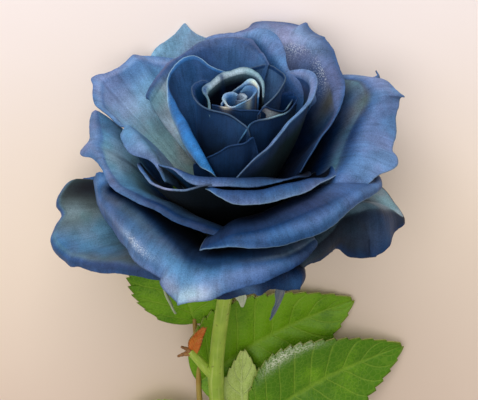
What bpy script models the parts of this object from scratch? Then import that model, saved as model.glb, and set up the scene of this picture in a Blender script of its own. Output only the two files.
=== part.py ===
# A cut rose, lying on its side. Metres, Z up, the flower facing +Y. Dimensions below are in millimetres.
import bmesh
import bpy
import numpy as np
from math import cos, pi, radians, sin
from mathutils import Matrix

MM = 0.001

# The flower's own frame has its axis up and its origin on top of the hip. It lies with the axis
# TILT degrees above the table and the origin HIGH above it.
TILT = 15.0
HIGH = 30.0
FLOOR = 0.45
SOFT = 1.6

PETAL_THICK = 0.7
LEAF_THICK = 0.65
SEPAL_THICK = 0.8
GAP = 0.3

# The core that the petals grow from, and the hip under it: reach and height down the outer side.
CORE = [(0, 6.2), (3, 5.8), (5.5, 5.0), (8.0, 3.0), (8.9, 1.5), (8.4, GAP), (0, GAP)]
HIP = [
    (0, 0), (8.2, 0), (8.3, -1.2), (7.4, -3.6), (6.3, -6.2),
    (4.4, -8.8), (2.9, -10.6), (2.6, -11.6), (0, -11.6),
]

# The stem's middle line on the table (x, y, z) and its radius there, from the hip to the cut end.
STEM = [
    (0, -11.5, 26.92, 2.3), (-1.2, -19, 24.9, 2.3), (-2.9, -31, 21.6, 2.3), (-4.6, -46, 17.7, 2.35),
    (-5.4, -60, 14.4, 2.4), (-4.6, -78, 11.0, 2.5), (-2.9, -98, 7.7, 2.6), (-0.6, -122, 5.0, 2.7),
    (2.0, -148, 3.6, 2.8), (4.6, -172, 3.05, 2.9), (6.6, -190, 2.95, 2.9),
]
CUT_Y = -185.0
CUT_SLOPE = 38.0
PRICKLES = [(-112, 60), (-131, 175), (-150, 15), (-166, 120)]
PRICKLE_LONG = 4.6
PRICKLE_ROOT = 1.9

# Sepals: bearing, length factor and twist of each one, all folded back along the stem.
SEPALS = [(334, 1.1, -16), (262, 0.8, 22), (190, 1.35, -6), (118, 0.9, -6), (46, 0.85, 6)]
SEPAL_LINE = [(5.6, -2.6), (16.5, -1.6), (20.0, -12.0), (14.5, -25.5)]
SEPAL_WIDE = 3.9


# Each petal stands on an arc of radius r0 at its bearing and leaves it at a0 degrees. It rises to its
# crest, which it reaches at a1 degrees, and then rolls back over a lip, in one bend at this place along
# the lip at its left and right end. A crest point has its bearing, reach and height, the degrees that
# the lip rolls there, and its share of the lip's length. A sixth number turns the lip aside there.
CLAW = 24.0
ROOT_Z = 1.4
RISE = 0.42
REACH = 0.34
TIGHTEST_ROLL = 1.3
BEND_WIDE = 0.6
PETALS = dict(
    left_low=dict(bearing=192, r0=7.8, a0=5, a1=-10, lip=5, fan=0.8, bend=(0.4, 0.4), crest=[
        (160, 28, 12, 85, 1), (162, 44.5, 5, 60, 1), (163, 48.5, 6, 60, 1), (168, 51, 4.5, 70, 0.8),
        (172, 51, 3, 70, 0.8), (175, 49, 1, 70, 0.75), (178, 50.5, -1, 75, 0.9),
        (183, 51, -2.5, 85, 1.15), (191, 47, -3, 90, 1.15), (195, 45, -2, 90, 0.9),
        (202, 41, -0.5, 85, 0.95), (215, 35, 2.5, 85, 1), (250, 28, 3, 85, 1),
    ]),
    right_low=dict(bearing=335, r0=7.8, a0=5, a1=-35, lip=13, fan=0.8, bend=(0.35, 0.3), crest=[
        (295, 28, 4, 60, 1), (310, 30, 7, 70, 0.4, -20), (322, 31, 8.5, 60, 0.45, -30),
        (332, 32, 9.5, 60, 0.52, -40), (340, 32.5, 10.5, 60, 0.72, -50), (345, 34.5, 11, 60, 1.1, -60),
        (347, 37, 11.5, 60, 1.24, -68), (348, 39.5, 12.5, 50, 1.22, -68), (350, 42, 12, 38, 1.1, -56),
        (353, 44, 10, 30, 0.84, -48), (358, 46.5, 7, 30, 0.5, -50), (0, 50, 3, 50, 0.14),
        (6, 48, 4, 40, 0.15), (12, 46.5, 5.5, 40, 0.2), (16, 40, 12, 30, 0.2),
    ]),
    under_front=dict(bearing=292, r0=7.8, a0=-5, a1=-15, lip=7, fan=0.8, crest=[
        (255, 27, -1, 75, 1), (276, 33, 7.5, 75, 0.8), (281, 34.5, 8.5, 75, 0.85),
        (288, 33.5, 8.5, 75, 0.75), (297, 32.5, 7, 75, 0.95), (304, 32.5, 6.5, 75, 1.05),
        (315, 28, 1, 75, 1),
    ]),
    back_tip=dict(bearing=105, r0=7.8, a0=40, a1=60, lip=3.5, crest=[
        (70, 33, 26, 30, 1), (97, 40.5, 37.5, 30, 0.4), (102, 43, 38, 30, 0.5),
        (105, 43.5, 39, 30, 0.75), (108, 44, 40.5, 30, 1.1), (111, 44.5, 39, 30, 0.85),
        (114, 44.5, 36.5, 30, 1), (121, 43.5, 33.5, 30, 1), (140, 38, 22, 30, 1),
    ]),
    back_right_low=dict(bearing=50, r0=7.8, a0=28, a1=35, lip=3, crest=[
        (8, 34, 18, 70, 1), (22, 43, 27, 70, 1), (30, 48.5, 34, 80, 1.2), (30, 47.5, 35.5, 80, 1.2),
        (44, 42, 28, 70, 1), (60, 46, 29, 70, 1), (74, 38, 24, 70, 1), (85, 30, 18, 70, 1),
    ]),
    front=dict(bearing=252, r0=7.4, a0=14, a1=5, lip=14, fan=0.7, bend=(0.3, 0.75), crest=[
        (190, 33, 20, 90, 0.7), (190, 35, 17.5, 100, 0.8), (203, 31, 18.5, 95, 0.98),
        (221, 30, 19, 85, 1.02), (239, 32.5, 17.5, 75, 0.9), (247, 34.5, 16.5, 68, 0.82),
        (250, 35.5, 15.5, 62, 0.97, 3), (252, 36, 15.5, 60, 1.15, 6), (254, 36.5, 15.5, 58, 1.07, 2),
        (263, 37.5, 16.5, 55, 0.92), (269, 37, 17, 55, 0.8), (282, 38, 18.5, 55, 0.66),
        (296, 36.5, 17, 55, 0.48), (312, 34, 15, 50, 0.35),
    ]),
    right=dict(bearing=12, r0=7.2, a0=36, a1=25, lip=14, fan=0.9, bend=(0.4, 0.4), crest=[
        (316, 30, 22, 60, 0.2), (321, 32, 23.5, 60, 0.25), (331, 30.5, 27, 55, 0.72),
        (341, 30.5, 28.5, 50, 0.95), (349, 30.5, 29, 50, 1.22), (355, 31.5, 30, 50, 1.05),
        (7, 34, 31, 50, 1.03), (13, 37, 33.5, 50, 0.98), (16, 39, 35.5, 50, 1),
        (20, 40.5, 36.5, 50, 0.8), (27, 41.5, 37, 45, 0.6), (33, 41, 36, 40, 0.4),
        (45, 36, 34, 40, 0.4),
    ]),
    back_right=dict(bearing=50, r0=6.9, a0=60, a1=60, lip=10.5, bend=(0.4, 0.4), crest=[
        (323, 23, 29, 20, 0.1), (335, 23.5, 32.5, 20, 0.12), (351, 25, 34.5, 20, 0.15),
        (8, 29, 36, 20, 0.2), (19, 30.5, 37.5, 60, 0.42), (32, 32, 39, 80, 0.6),
        (43, 33.5, 42, 80, 0.78), (50, 34, 43.5, 80, 0.85), (56, 34.5, 43, 80, 0.92),
        (60, 34, 42.5, 80, 1.35), (63, 33.5, 42, 80, 1.3, -12), (72, 33.5, 41.5, 80, 1.35),
        (82, 32, 42.5, 80, 0.9), (98, 34, 43, 80, 0.25),
    ]),
    back_left=dict(bearing=148, r0=7, a0=50, a1=42, lip=5, crest=[
        (112, 31, 35, 40, 1), (125, 40, 34, 40, 1), (131, 41, 36.5, 45, 0.9), (138, 42, 35, 45, 0.65),
        (145, 43, 34.5, 45, 0.7), (148, 43.5, 34, 50, 1.02), (151, 42.5, 34, 50, 0.98),
        (154, 41.5, 32.5, 50, 0.88), (159, 39, 31.5, 45, 0.75), (163, 35, 30.5, 45, 0.45),
        (167, 31.5, 30, 60, 0.35), (170, 29, 31.5, 90, 0.5, 10), (172, 27.5, 31.5, 95, 1.15, 20),
        (180, 24.5, 31, 95, 1.6, 32), (190, 22.5, 30, 90, 1.55, 42), (199, 21, 27.5, 50, 0.6, 25),
        (218, 23, 26, 30, 0.3),
    ]),
    left=dict(bearing=222, r0=6.9, a0=36, a1=20, lip=7, crest=[
        (150, 34, 20, 65, 1), (153, 44, 26.5, 70, 0.35), (155, 43, 26, 70, 0.55),
        (162, 39.5, 25, 75, 0.75), (166, 38, 24, 75, 0.9), (171, 37.5, 23.5, 75, 1.2),
        (177, 36.5, 24, 75, 0.75), (183, 35.5, 23, 65, 0.35), (198, 33, 23, 60, 0.4),
        (212, 30, 23, 60, 0.45), (230, 28.5, 24, 60, 0.45), (246, 28.5, 22.5, 60, 0.45),
        (259, 28.5, 21, 60, 0.45), (269, 29, 20, 60, 0.35), (300, 27, 18, 65, 1),
    ]),
    front_right=dict(bearing=302, r0=7, a0=40, a1=-5, lip=7.5, crest=[
        (256, 35, 18.5, 60, 0.1), (262, 35.5, 21, 60, 0.25), (271, 36, 25, 60, 0.55),
        (284, 36, 26.5, 70, 0.82), (297, 37, 28.5, 75, 1.02), (309, 37.5, 29.5, 75, 0.98),
        (321, 38, 29, 75, 0.7), (329, 39.5, 28.5, 75, 0.6), (343, 41.5, 25, 75, 0.45),
        (355, 38, 24, 75, 1),
    ]),
    back=dict(bearing=100, r0=6.2, a0=64, a1=62, lip=6.5, bend=(0.4, 0.4), crest=[
        (54, 17.5, 46, 90, 0.2), (69, 20.5, 46, 90, 0.4), (82, 23, 46, 90, 0.95),
        (92, 26, 44.5, 100, 1.15), (101, 27.5, 43.5, 100, 1.1), (110, 27.5, 43, 100, 1),
        (120, 27.5, 41, 100, 0.8), (131, 26.5, 40, 90, 0.7), (150, 27, 34, 100, 1),
    ]),
    back_right_inner=dict(bearing=62, r0=6.4, a0=64, a1=60, lip=7, crest=[
        (18, 23, 36, 80, 1), (42, 21, 42.5, 30, 0.3), (57, 22.5, 43.5, 60, 0.8),
        (70, 26.5, 44.5, 65, 1), (79, 29.5, 45, 65, 0.8), (86, 31, 44, 60, 0.5),
        (105, 31.5, 42, 80, 1),
    ]),
    front_third=dict(bearing=275, r0=6, a0=54, a1=38, lip=6, crest=[
        (236, 22, 25, 40, 0.2), (253, 25, 31.5, 60, 0.2), (265, 28, 33.5, 90, 0.6),
        (273, 29, 34, 100, 1), (286, 29, 33.5, 100, 1), (299, 29.5, 34, 100, 1),
        (312, 29.5, 32.5, 80, 0.8), (328, 30.5, 29, 60, 0.3), (345, 28, 27, 100, 1),
    ]),
    front_left_inner=dict(bearing=222, r0=6.5, a0=50, a1=60, lip=1.5, crest=[
        (180, 26, 22, 60, 1), (198, 26.5, 26.5, 60, 1), (205, 26.5, 26.5, 60, 1),
        (219, 27, 27.5, 60, 1), (234, 28.5, 30, 60, 1), (244, 29, 32, 60, 1), (250, 28, 33, 60, 1),
        (255, 27, 33.5, 60, 0.6), (263, 25, 33, 60, 0.5), (285, 19, 27, 60, 0.5),
    ]),
    front_inner=dict(bearing=250, r0=5.7, a0=60, a1=45, lip=4, crest=[
        (200, 21, 26, 50, 0.3), (209, 22.5, 29.5, 60, 0.2), (228, 23, 32.5, 80, 0.35),
        (239, 23, 33, 100, 0.7), (249, 23.5, 33.5, 110, 1), (269, 24, 34.5, 110, 1),
        (288, 24, 33.5, 110, 1), (309, 24.5, 31, 60, 0.3), (335, 23, 26, 110, 1),
    ]),
    left_inner=dict(bearing=145, r0=5.3, a0=66, a1=70, lip=7.5, crest=[
        (85, 20, 38, 40, 0.2), (106, 21, 41, 60, 0.15), (115, 24.5, 43, 70, 0.2),
        (125, 24.5, 43.5, 70, 0.18), (139, 23, 42, 90, 0.15), (153, 20, 41, 110, 0.15),
        (166, 16, 39, 145, 0.5), (194, 12.5, 37.5, 160, 0.85), (224, 13, 35, 160, 0.9),
        (245, 15.5, 32.5, 150, 0.7), (255, 17.5, 29.5, 60, 0.25),
    ]),
    right_inner=dict(bearing=5, r0=4.9, a0=66, a1=84, lip=3.5, crest=[
        (273, 20, 31, 30, 0.2), (284, 19, 34.5, 40, 0.5), (299, 18.5, 37.5, 50, 0.85),
        (328, 17, 40, 50, 0.9), (354, 19.5, 41.5, 55, 1), (13, 22.5, 42.5, 55, 1.1),
        (22, 23.5, 43.5, 50, 1.1), (34, 23, 43, 45, 0.8), (44, 21.5, 42.5, 40, 0.4),
        (75, 19, 38, 45, 1),
    ]),
    bud_front_low=dict(bearing=262, r0=4.6, a0=66, a1=88, lip=1.2, crest=[
        (225, 15, 29, 30, 1), (255, 14.5, 35, 30, 1), (268, 15, 38, 30, 1), (282, 15.5, 39, 30, 1),
        (292, 15, 40, 90, 1.3), (295, 15.5, 37.5, 30, 1), (298, 16, 33.5, 30, 1), (310, 14, 24, 30, 1),
    ]),
    bud_right=dict(bearing=320, r0=4.2, a0=72, a1=88, lip=1.2, crest=[
        (268, 12, 32, 40, 1), (294, 10.5, 40.5, 40, 1), (304, 11.5, 42.5, 40, 1),
        (323, 13, 42.5, 40, 1), (344, 14.5, 41, 40, 1), (0, 16.5, 40.5, 40, 1),
        (16, 18.5, 40.5, 40, 1), (35, 17, 38, 40, 1),
    ]),
    bud_left=dict(bearing=215, r0=3.9, a0=74, a1=90, lip=1.6, crest=[
        (124, 9.5, 43, 60, 0.6), (134, 11, 44, 60, 1), (152, 11.5, 43.5, 60, 1.3),
        (168, 10, 42, 60, 1.2), (192, 7.5, 41.5, 50, 1.1), (258, 5, 41.5, 40, 0.8),
        (286, 8.5, 41.5, 30, 0.6), (294, 11, 40.5, 20, 0.5), (300, 11, 31, 40, 1),
    ]),
    bud_back=dict(bearing=38, r0=3.5, a0=74, a1=88, lip=1.2, crest=[
        (353, 8.5, 41.5, 60, 1), (11, 11, 42, 60, 1), (24, 14.5, 42.5, 60, 1), (33, 17.5, 44, 60, 1),
        (41, 18, 44.5, 60, 1), (55, 18, 45, 60, 1), (69, 16, 44, 60, 1), (85, 13, 44, 60, 1),
        (118, 12.5, 41, 60, 1),
    ]),
    bud_right_inner=dict(bearing=345, r0=3.1, a0=76, a1=88, lip=2, crest=[
        (328, 8.5, 41.5, 10, 0.3), (347, 9, 42, 60, 1), (355, 11.5, 40.5, 60, 0.7),
        (4, 14.5, 39, 40, 0.4), (17, 17, 39, 30, 0.4), (25, 19, 40, 30, 0.6), (30, 14, 40, 50, 1),
    ]),
    bud_arch=dict(bearing=85, r0=2.8, a0=76, a1=88, lip=2, crest=[
        (13, 9, 43.5, 60, 0.6), (35, 10.5, 44.5, 70, 0.7), (54, 11.5, 45, 80, 0.9),
        (73, 11.5, 45.5, 80, 1.1), (90, 10.5, 45, 80, 0.9), (107, 9.5, 44.5, 80, 1.15),
        (125, 9, 43.5, 80, 1), (143, 8.5, 42.5, 80, 1.3), (166, 6.5, 42, 60, 0.6),
        (205, 6.5, 40, 80, 1),
    ]),
    bud_front=dict(bearing=268, r0=2.5, a0=80, a1=90, lip=1, crest=[
        (175, 5.5, 41.5, 40, 1), (223, 3.5, 42.5, 40, 1), (300, 4.5, 42.5, 40, 1), (334, 8, 42, 40, 1),
        (348, 9.5, 40, 40, 1),
    ]),
    heart_left=dict(bearing=130, r0=2, a0=82, a1=90, lip=1.2, crest=[
        (11, 7.5, 43.5, 60, 1), (33, 8.5, 44.5, 60, 1), (48, 8, 45.5, 60, 1.3),
        (62, 6.5, 44.5, 60, 0.8), (75, 4.5, 44, 60, 0.6), (125, 2, 43.5, 60, 0.6),
        (198, 3, 42.5, 60, 1),
    ]),
    heart_right=dict(bearing=10, r0=1.6, a0=84, a1=90, lip=1, crest=[
        (289, 3.5, 43.5, 50, 1), (324, 4, 44, 50, 1.2), (354, 5, 44, 50, 1), (18, 6.5, 44.5, 80, 1.9),
        (35, 5, 45, 80, 1.7), (46, 3.5, 44.5, 50, 0.6),
    ]),
    heart_front=dict(bearing=200, r0=1.2, a0=84, a1=90, lip=1, crest=[
        (28, 2.5, 44, 50, 1), (66, 1.5, 44.5, 50, 1), (142, 1, 44, 80, 1.9), (208, 2, 43.5, 80, 1.9),
        (261, 3, 43, 50, 0.8), (300, 3.5, 43.5, 50, 0.6),
    ]),
    heart_middle=dict(bearing=330, r0=0.8, a0=86, a1=90, lip=0.8, crest=[
        (314, 1.5, 44, 20, 1), (325, 3, 44, 30, 1.4), (357, 4, 44.5, 20, 1), (17, 2.5, 45, 20, 1),
        (23, 1.5, 44, 20, 1),
    ]),
)
BIG_GRID = (9, 4, 3)
SMALL_GRID = (6, 3, 2)
BIG_REACH = 27.0

# Leaves: the line of the leaf stalk (x, y, z), and for each leaflet its root, bearing on the table,
# length, half width, slope up along it, droop at the tip and sideways bend.
UPPER_STALK = [(-3.2, -101, 7.4), (-7.5, -92, 6.9), (-10.6, -76, 6.4), (-11.4, -59, 6.0), (-12.3, -43, 5.6)]
UPPER_LEAFLETS = [
    dict(root=(-12.2, -44.5, 5.6), bearing=94, long=52, half=17.5, slope=4, droop=6.0, bend=3),
    dict(root=(-11.3, -66.0, 5.8), bearing=29, long=57, half=19.5, slope=-3, droop=1.5, bend=3),
    dict(root=(-9.9, -80.0, 6.5), bearing=197, long=35, half=10.5, slope=3, droop=5.5, bend=-3),
    dict(root=(-7.3, -92.5, 6.9), bearing=222, long=32, half=9.5, slope=2, droop=5.0, bend=-3),
]
LOWER_STALK = [(1.6, -124, 5.2), (7.0, -115, 7.6), (9.6, -101, 9.6), (9.0, -87, 10.8), (6.8, -76, 11.4)]
LOWER_LEAFLETS = [
    dict(root=(7.4, -77.5, 11.3), bearing=26, long=53, half=18.5, slope=-4, droop=5.0, bend=3),
    dict(root=(9.3, -92.0, 10.4), bearing=-20, long=43, half=13.0, slope=-4, droop=4.5, bend=-4),
    dict(root=(9.3, -94.5, 10.3), bearing=98, long=42, half=11.0, slope=-2.3, droop=0.0, bend=3),
    dict(root=(8.6, -109.0, 8.6), bearing=-32, long=33, half=10.5, slope=-4, droop=4.0, bend=-3),
]
STALK_RADIUS = (1.15, 0.75)
LEAFLET_GRID = (16, 4)
TOOTH = 0.07

# The side shoot: a green stub with two dry tips, and the young leaf that stands on it.
SHOOT = [
    (-6.4, -58.5, 14.9, 1.7), (-9.4, -54.5, 15.5, 1.6), (-12.2, -50.8, 15.9, 1.35), (-13.4, -49.2, 16.1, 1.2),
]
DRY_TIPS = [((-13.0, -50.0, 16.0), (-17.4, -50.8, 16.6)), ((-13.0, -49.8, 16.0), (-16.2, -47.2, 17.0))]
YOUNG_LEAF = dict(root=(-12.6, -50.2, 16.0), bearing=68, long=10.5, half=1.7, slope=8, droop=0.6, bend=1)


def material(name, colour, roughness):
    made = bpy.data.materials.new(name)
    made.use_nodes = True
    shader = made.node_tree.nodes["Principled BSDF"]
    shader.inputs["Base Color"].default_value = (*colour, 1)
    shader.inputs["Roughness"].default_value = roughness
    return made


def collection(name, hidden=False):
    made = bpy.data.collections.new(name)
    bpy.context.scene.collection.children.link(made)
    made.hide_render = hidden
    return made


def soft_floor(z):
    """Heights near the table are eased up, so that what would sink in lies flat on it."""
    low = SOFT - (SOFT - FLOOR) * np.tanh((SOFT - z) / (SOFT - FLOOR))
    return np.where(z < SOFT, low, z)


def lie_down(points):
    """From the flower's frame to the table."""
    a = radians(TILT)
    x, y, z = points[..., 0], points[..., 1], points[..., 2]
    high = HIGH + z * sin(a) - y * cos(a)
    return np.stack([x, z * cos(a) + y * sin(a), soft_floor(high)], -1)


def smooth_line(knots, count):
    """A smooth line through the knots, with count + 1 rows evenly spaced along it."""
    knots = np.asarray(knots, float)
    steps = np.linalg.norm(np.diff(knots[:, :3], axis=0), axis=1) ** 0.8
    along = np.concatenate([[0], np.cumsum(steps)])
    along /= along[-1]
    pull = np.gradient(knots, along, axis=0, edge_order=1)
    pull[1:-1] = (knots[2:] - knots[:-2]) / (along[2:] - along[:-2])[:, None]
    u = np.linspace(0, 1, count + 1)
    i = np.clip(np.searchsorted(along, u) - 1, 0, len(along) - 2)
    wide = along[i + 1] - along[i]
    s = ((u - along[i]) / wide)[:, None]
    wide = wide[:, None]
    line = (2 * s**3 - 3 * s**2 + 1) * knots[i] + (3 * s**2 - 2 * s**3) * knots[i + 1]
    return line + (s**3 - 2 * s**2 + s) * wide * pull[i] + (s**3 - s**2) * wide * pull[i + 1]


def aim(bearing, rise):
    """The direction at this bearing and rise, in degrees."""
    b, r = np.radians(bearing), np.radians(rise)
    return np.stack([np.cos(r) * np.cos(b), np.cos(r) * np.sin(b), np.sin(r) + 0 * b], -1)


def petal_points(petal, across, body_rows, lip_rows):
    """The petal's middle surface in the flower's frame, as rows from its root to its edge."""
    crest = np.array([(*point, 0)[:6] for point in petal["crest"]], float)
    crest[:, 0] = np.degrees(np.unwrap(np.radians(crest[:, 0])))
    turn = np.radians(crest[:, 0])
    reach, others = crest[:, 1], crest[:, 2:]
    knots = np.column_stack([reach * np.cos(turn), reach * np.sin(turn), others, crest[:, 0]])
    line = smooth_line(knots, across)
    top, roll, share, aside, bearing = line[:, :3], line[:, 3], line[:, 4], line[:, 5], line[:, 6]
    middle = (crest[0, 0] + crest[-1, 0]) / 2
    root_bearing = middle + (petal["bearing"] - middle + 180) % 360 - 180
    q = np.linspace(-1, 1, across + 1)
    root_turn = root_bearing + CLAW * q
    root = petal["r0"] * aim(root_turn, 0) + [0, 0, ROOT_Z]
    leave = aim(root_turn + 0.5 * (bearing - root_turn), petal["a0"])
    outward = root_bearing + petal.get("fan", 1.0) * (bearing - root_bearing)
    arrive = aim(outward, petal["a1"])
    chord = np.linalg.norm(top - root, axis=1)[:, None]
    first = root + RISE * chord * leave
    second = top - REACH * chord * arrive
    t = np.linspace(0, 1, body_rows + 1)[:, None, None]
    body = (1 - t) ** 3 * root + 3 * (1 - t) ** 2 * t * first + 3 * (1 - t) * t**2 * second + t**3 * top
    along = np.gradient(top, axis=0)
    away = aim(outward + aside, petal["a1"])
    back = np.cross(along, away)
    back /= np.linalg.norm(back, axis=1)[:, None]
    length = petal["lip"] * share * (0.4 + 0.6 * np.sqrt(1 - np.abs(q) ** 5))
    length = np.maximum(length, 0.8)
    roll = np.clip(np.radians(roll), 0.02, length * BEND_WIDE / TIGHTEST_ROLL)
    s = np.linspace(0, 1, lip_rows + 1)[1:, None]
    bend = np.interp(q, (-1, 1), petal.get("bend", (0.5, 0.5)))
    halfway = s - 0.5 / lip_rows
    curl = (roll * np.clip((halfway - bend) / BEND_WIDE + 0.5, 0, 1))[..., None]
    step = (length / lip_rows)[:, None]
    lip = top + np.cumsum(step * (np.cos(curl) * away + np.sin(curl) * back), axis=0)
    return np.concatenate([body, lip])


def sheet(name, points, thick, where, look):
    """A closed blade: a grid moved on to the points, split into triangles and thickened."""
    rows, columns = points.shape[0] - 1, points.shape[1] - 1
    mesh = bpy.data.meshes.new(name)
    grid = bmesh.new()
    bmesh.ops.create_grid(grid, x_segments=columns, y_segments=rows, size=1)
    for vertex in grid.verts:
        column = round((vertex.co.x + 1) / 2 * columns)
        row = round((vertex.co.y + 1) / 2 * rows)
        vertex.co = points[row, column] * MM
    bmesh.ops.triangulate(grid, faces=grid.faces[:], quad_method="FIXED")
    grid.to_mesh(mesh)
    grid.free()
    mesh.materials.append(look)
    blade = bpy.data.objects.new(name, mesh)
    where.objects.link(blade)
    solid = blade.modifiers.new("Thickness", "SOLIDIFY")
    solid.thickness = thick * MM
    solid.offset = 0
    return blade


def tube(name, rows, where, look, sides=2):
    """A round rod along rows of x, y, z and radius, with closed ends."""
    curve = bpy.data.curves.new(name, "CURVE")
    curve.dimensions = "3D"
    curve.bevel_depth = MM
    curve.bevel_resolution = sides
    curve.use_fill_caps = True
    line = curve.splines.new("POLY")
    line.points.add(len(rows) - 1)
    for point, (x, y, z, radius) in zip(line.points, rows):
        point.co = (x * MM, y * MM, z * MM, 1)
        point.radius = radius
    rod = bpy.data.objects.new(name, curve)
    where.objects.link(rod)
    bpy.context.view_layer.update()
    mesh = bpy.data.meshes.new_from_object(rod.evaluated_get(bpy.context.evaluated_depsgraph_get()))
    bpy.data.objects.remove(rod)
    weld = bmesh.new()
    weld.from_mesh(mesh)
    bmesh.ops.remove_doubles(weld, verts=weld.verts[:], dist=0.00001)
    bmesh.ops.recalc_face_normals(weld, faces=weld.faces[:])
    weld.to_mesh(mesh)
    weld.free()
    mesh.materials.clear()
    mesh.materials.append(look)
    made = bpy.data.objects.new(name, mesh)
    where.objects.link(made)
    return made


def turned(name, profile, steps, where, look):
    """A profile of reach and height, turned about Z."""
    mesh = bpy.data.meshes.new(name)
    outline = bmesh.new()
    corners = [outline.verts.new((reach * MM, 0, height * MM)) for reach, height in profile]
    for one, other in zip(corners, corners[1:]):
        outline.edges.new((one, other))
    outline.to_mesh(mesh)
    outline.free()
    mesh.materials.append(look)
    made = bpy.data.objects.new(name, mesh)
    where.objects.link(made)
    screw = made.modifiers.new("Turn", "SCREW")
    screw.steps = steps
    screw.render_steps = steps
    screw.use_merge_vertices = True
    screw.merge_threshold = 0.00005
    made.rotation_euler = (radians(TILT - 90), 0, 0)
    made.location = (0, 0, HIGH * MM)
    return made


def settle(thing):
    """The thing's mesh with its modifiers applied and its placing kept in the mesh."""
    bpy.context.view_layer.update()
    found = thing.evaluated_get(bpy.context.evaluated_depsgraph_get())
    mesh = bpy.data.meshes.new_from_object(found)
    mesh.transform(found.matrix_world)
    thing.modifiers.clear()
    thing.data = mesh
    thing.matrix_world = Matrix.Identity(4)
    return thing


def fill_pockets(thing):
    """Where crossing blades shut a pocket in, the pocket is filled: only the outer skin is kept."""
    skin = bmesh.new()
    skin.from_mesh(thing.data)
    left = set(skin.faces)
    islands = []
    while left:
        island = [left.pop()]
        for face in island:
            near = {other for edge in face.edges for other in edge.link_faces} & left
            left -= near
            island.extend(near)
        islands.append(island)
    islands.sort(key=len)
    pockets = [face for island in islands[:-1] for face in island]
    bmesh.ops.delete(skin, geom=pockets, context="FACES")
    skin.to_mesh(thing.data)
    skin.free()
    print(thing.name, sum(map(len, islands[:-1])), "faces of shut pockets taken out")


def join(thing, others, solver="EXACT"):
    """One union of the thing with all that the collection holds, which is then removed."""
    union = thing.modifiers.new("Union", "BOOLEAN")
    union.operation = "UNION"
    union.operand_type = "COLLECTION"
    union.collection = others
    union.solver = solver
    settle(thing)
    fill_pockets(thing)
    for other in list(others.objects):
        bpy.data.objects.remove(other)
    bpy.data.collections.remove(others)


def cut(thing, cutter):
    cutter.display_type = "WIRE"
    take = thing.modifiers.new("Cut", "BOOLEAN")
    take.operation = "DIFFERENCE"
    take.object = cutter
    take.solver = "EXACT"
    settle(thing)


def leaflet_points(root, bearing, long, half, slope, droop, bend, grid=LEAFLET_GRID):
    """A toothed leaflet, folded along its midrib, arched, and drooping to its tip."""
    lengthwise, across = grid
    t = np.linspace(0, 1, lengthwise + 1)[:, None]
    q = np.linspace(-1, 1, across + 1)[None, :]
    wide = half * np.sin(pi * t**0.8) ** 0.75 * (1 - 0.25 * t) / 0.93 + 0.45
    saw = 1 - TOOTH * (np.arange(lengthwise + 1) % 2)[:, None] * (t > 0.1)
    side = q * wide * np.where(np.abs(q) > 0.9, saw, 1)
    ahead = long * t - 0.16 * np.abs(side) + 0 * q
    sway = bend * np.sin(pi * t) * 1.0
    up = ahead * np.tan(radians(slope)) - droop * t**2
    up = up + 0.2 * np.abs(side) + 0.5 * np.sin(9 * t + 2 * q) * np.abs(q) * np.sin(pi * t)
    b = radians(bearing)
    side = side + sway
    x = root[0] + ahead * cos(b) - side * sin(b)
    y = root[1] + ahead * sin(b) + side * cos(b)
    return np.stack([x, y, soft_floor(root[2] + up)], -1)


def compound_leaf(name, stalk, leaflets, where, look, stem_cutter):
    """A leaf of toothed leaflets on one stalk, cut clear of the stem that it grows from."""
    line = smooth_line(stalk, 14)
    radius = np.linspace(*STALK_RADIUS, len(line))
    leaf = tube(name, np.column_stack([line, radius]), where, look, sides=1)
    blades = collection(name + "_blades")
    for number, leaflet in enumerate(leaflets):
        sheet(f"{name}_{number}", leaflet_points(**leaflet), LEAF_THICK, blades, look)
    join(leaf, blades)
    cut(leaf, stem_cutter)
    return leaf


for old in list(bpy.data.objects):
    bpy.data.objects.remove(old)

rose = collection("rose")
cutters = collection("cutters", hidden=True)
blue = material("petal_blue", (0.07, 0.12, 0.36), 0.55)
green = material("stem_green", (0.23, 0.42, 0.08), 0.5)
leaf_green = material("leaf_green", (0.10, 0.30, 0.04), 0.45)
calyx_green = material("calyx_green", (0.30, 0.48, 0.20), 0.55)
shoot_green = material("shoot_green", (0.35, 0.34, 0.08), 0.6)

# The bloom: every petal grows out of the core, so they are one body.
bloom = turned("bloom", CORE, 20, rose, blue)
settle(bloom)
petals = collection("petals")
for name, petal in PETALS.items():
    reach = max(point[1] for point in petal["crest"])
    grid = BIG_GRID if reach > BIG_REACH else SMALL_GRID
    sheet(name, lie_down(petal_points(petal, *grid)), PETAL_THICK, petals, blue)
join(bloom, petals, solver="MANIFOLD")

# The hip with its five sepals.
calyx = turned("calyx", HIP, 20, rose, calyx_green)
settle(calyx)
sepals = collection("sepals")
for bearing, longer, twist in SEPALS:
    p = np.array(SEPAL_LINE, float)
    p[1:] = p[0] + (p[1:] - p[0]) * longer
    t = np.linspace(0, 1, 9)[:, None]
    line = (1 - t) ** 3 * p[0] + 3 * (1 - t) ** 2 * t * p[1] + 3 * (1 - t) * t**2 * p[2] + t**3 * p[3]
    q = np.array([-1.0, 0.0, 1.0])[None, :]
    wide = SEPAL_WIDE * (1 - t**1.7) * (0.75 + 0.5 * t) + 0.3
    side = q * wide
    reach = line[:, :1] - 0.05 * side**2
    turn = np.radians(bearing + twist * t)
    x = reach * np.cos(turn) - side * np.sin(turn)
    y = reach * np.sin(turn) + side * np.cos(turn)
    points = lie_down(np.stack([x, y, line[:, 1:] + 0 * q], -1))
    sheet(f"sepal_{bearing}", points, SEPAL_THICK, sepals, calyx_green)
join(calyx, sepals)

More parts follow.
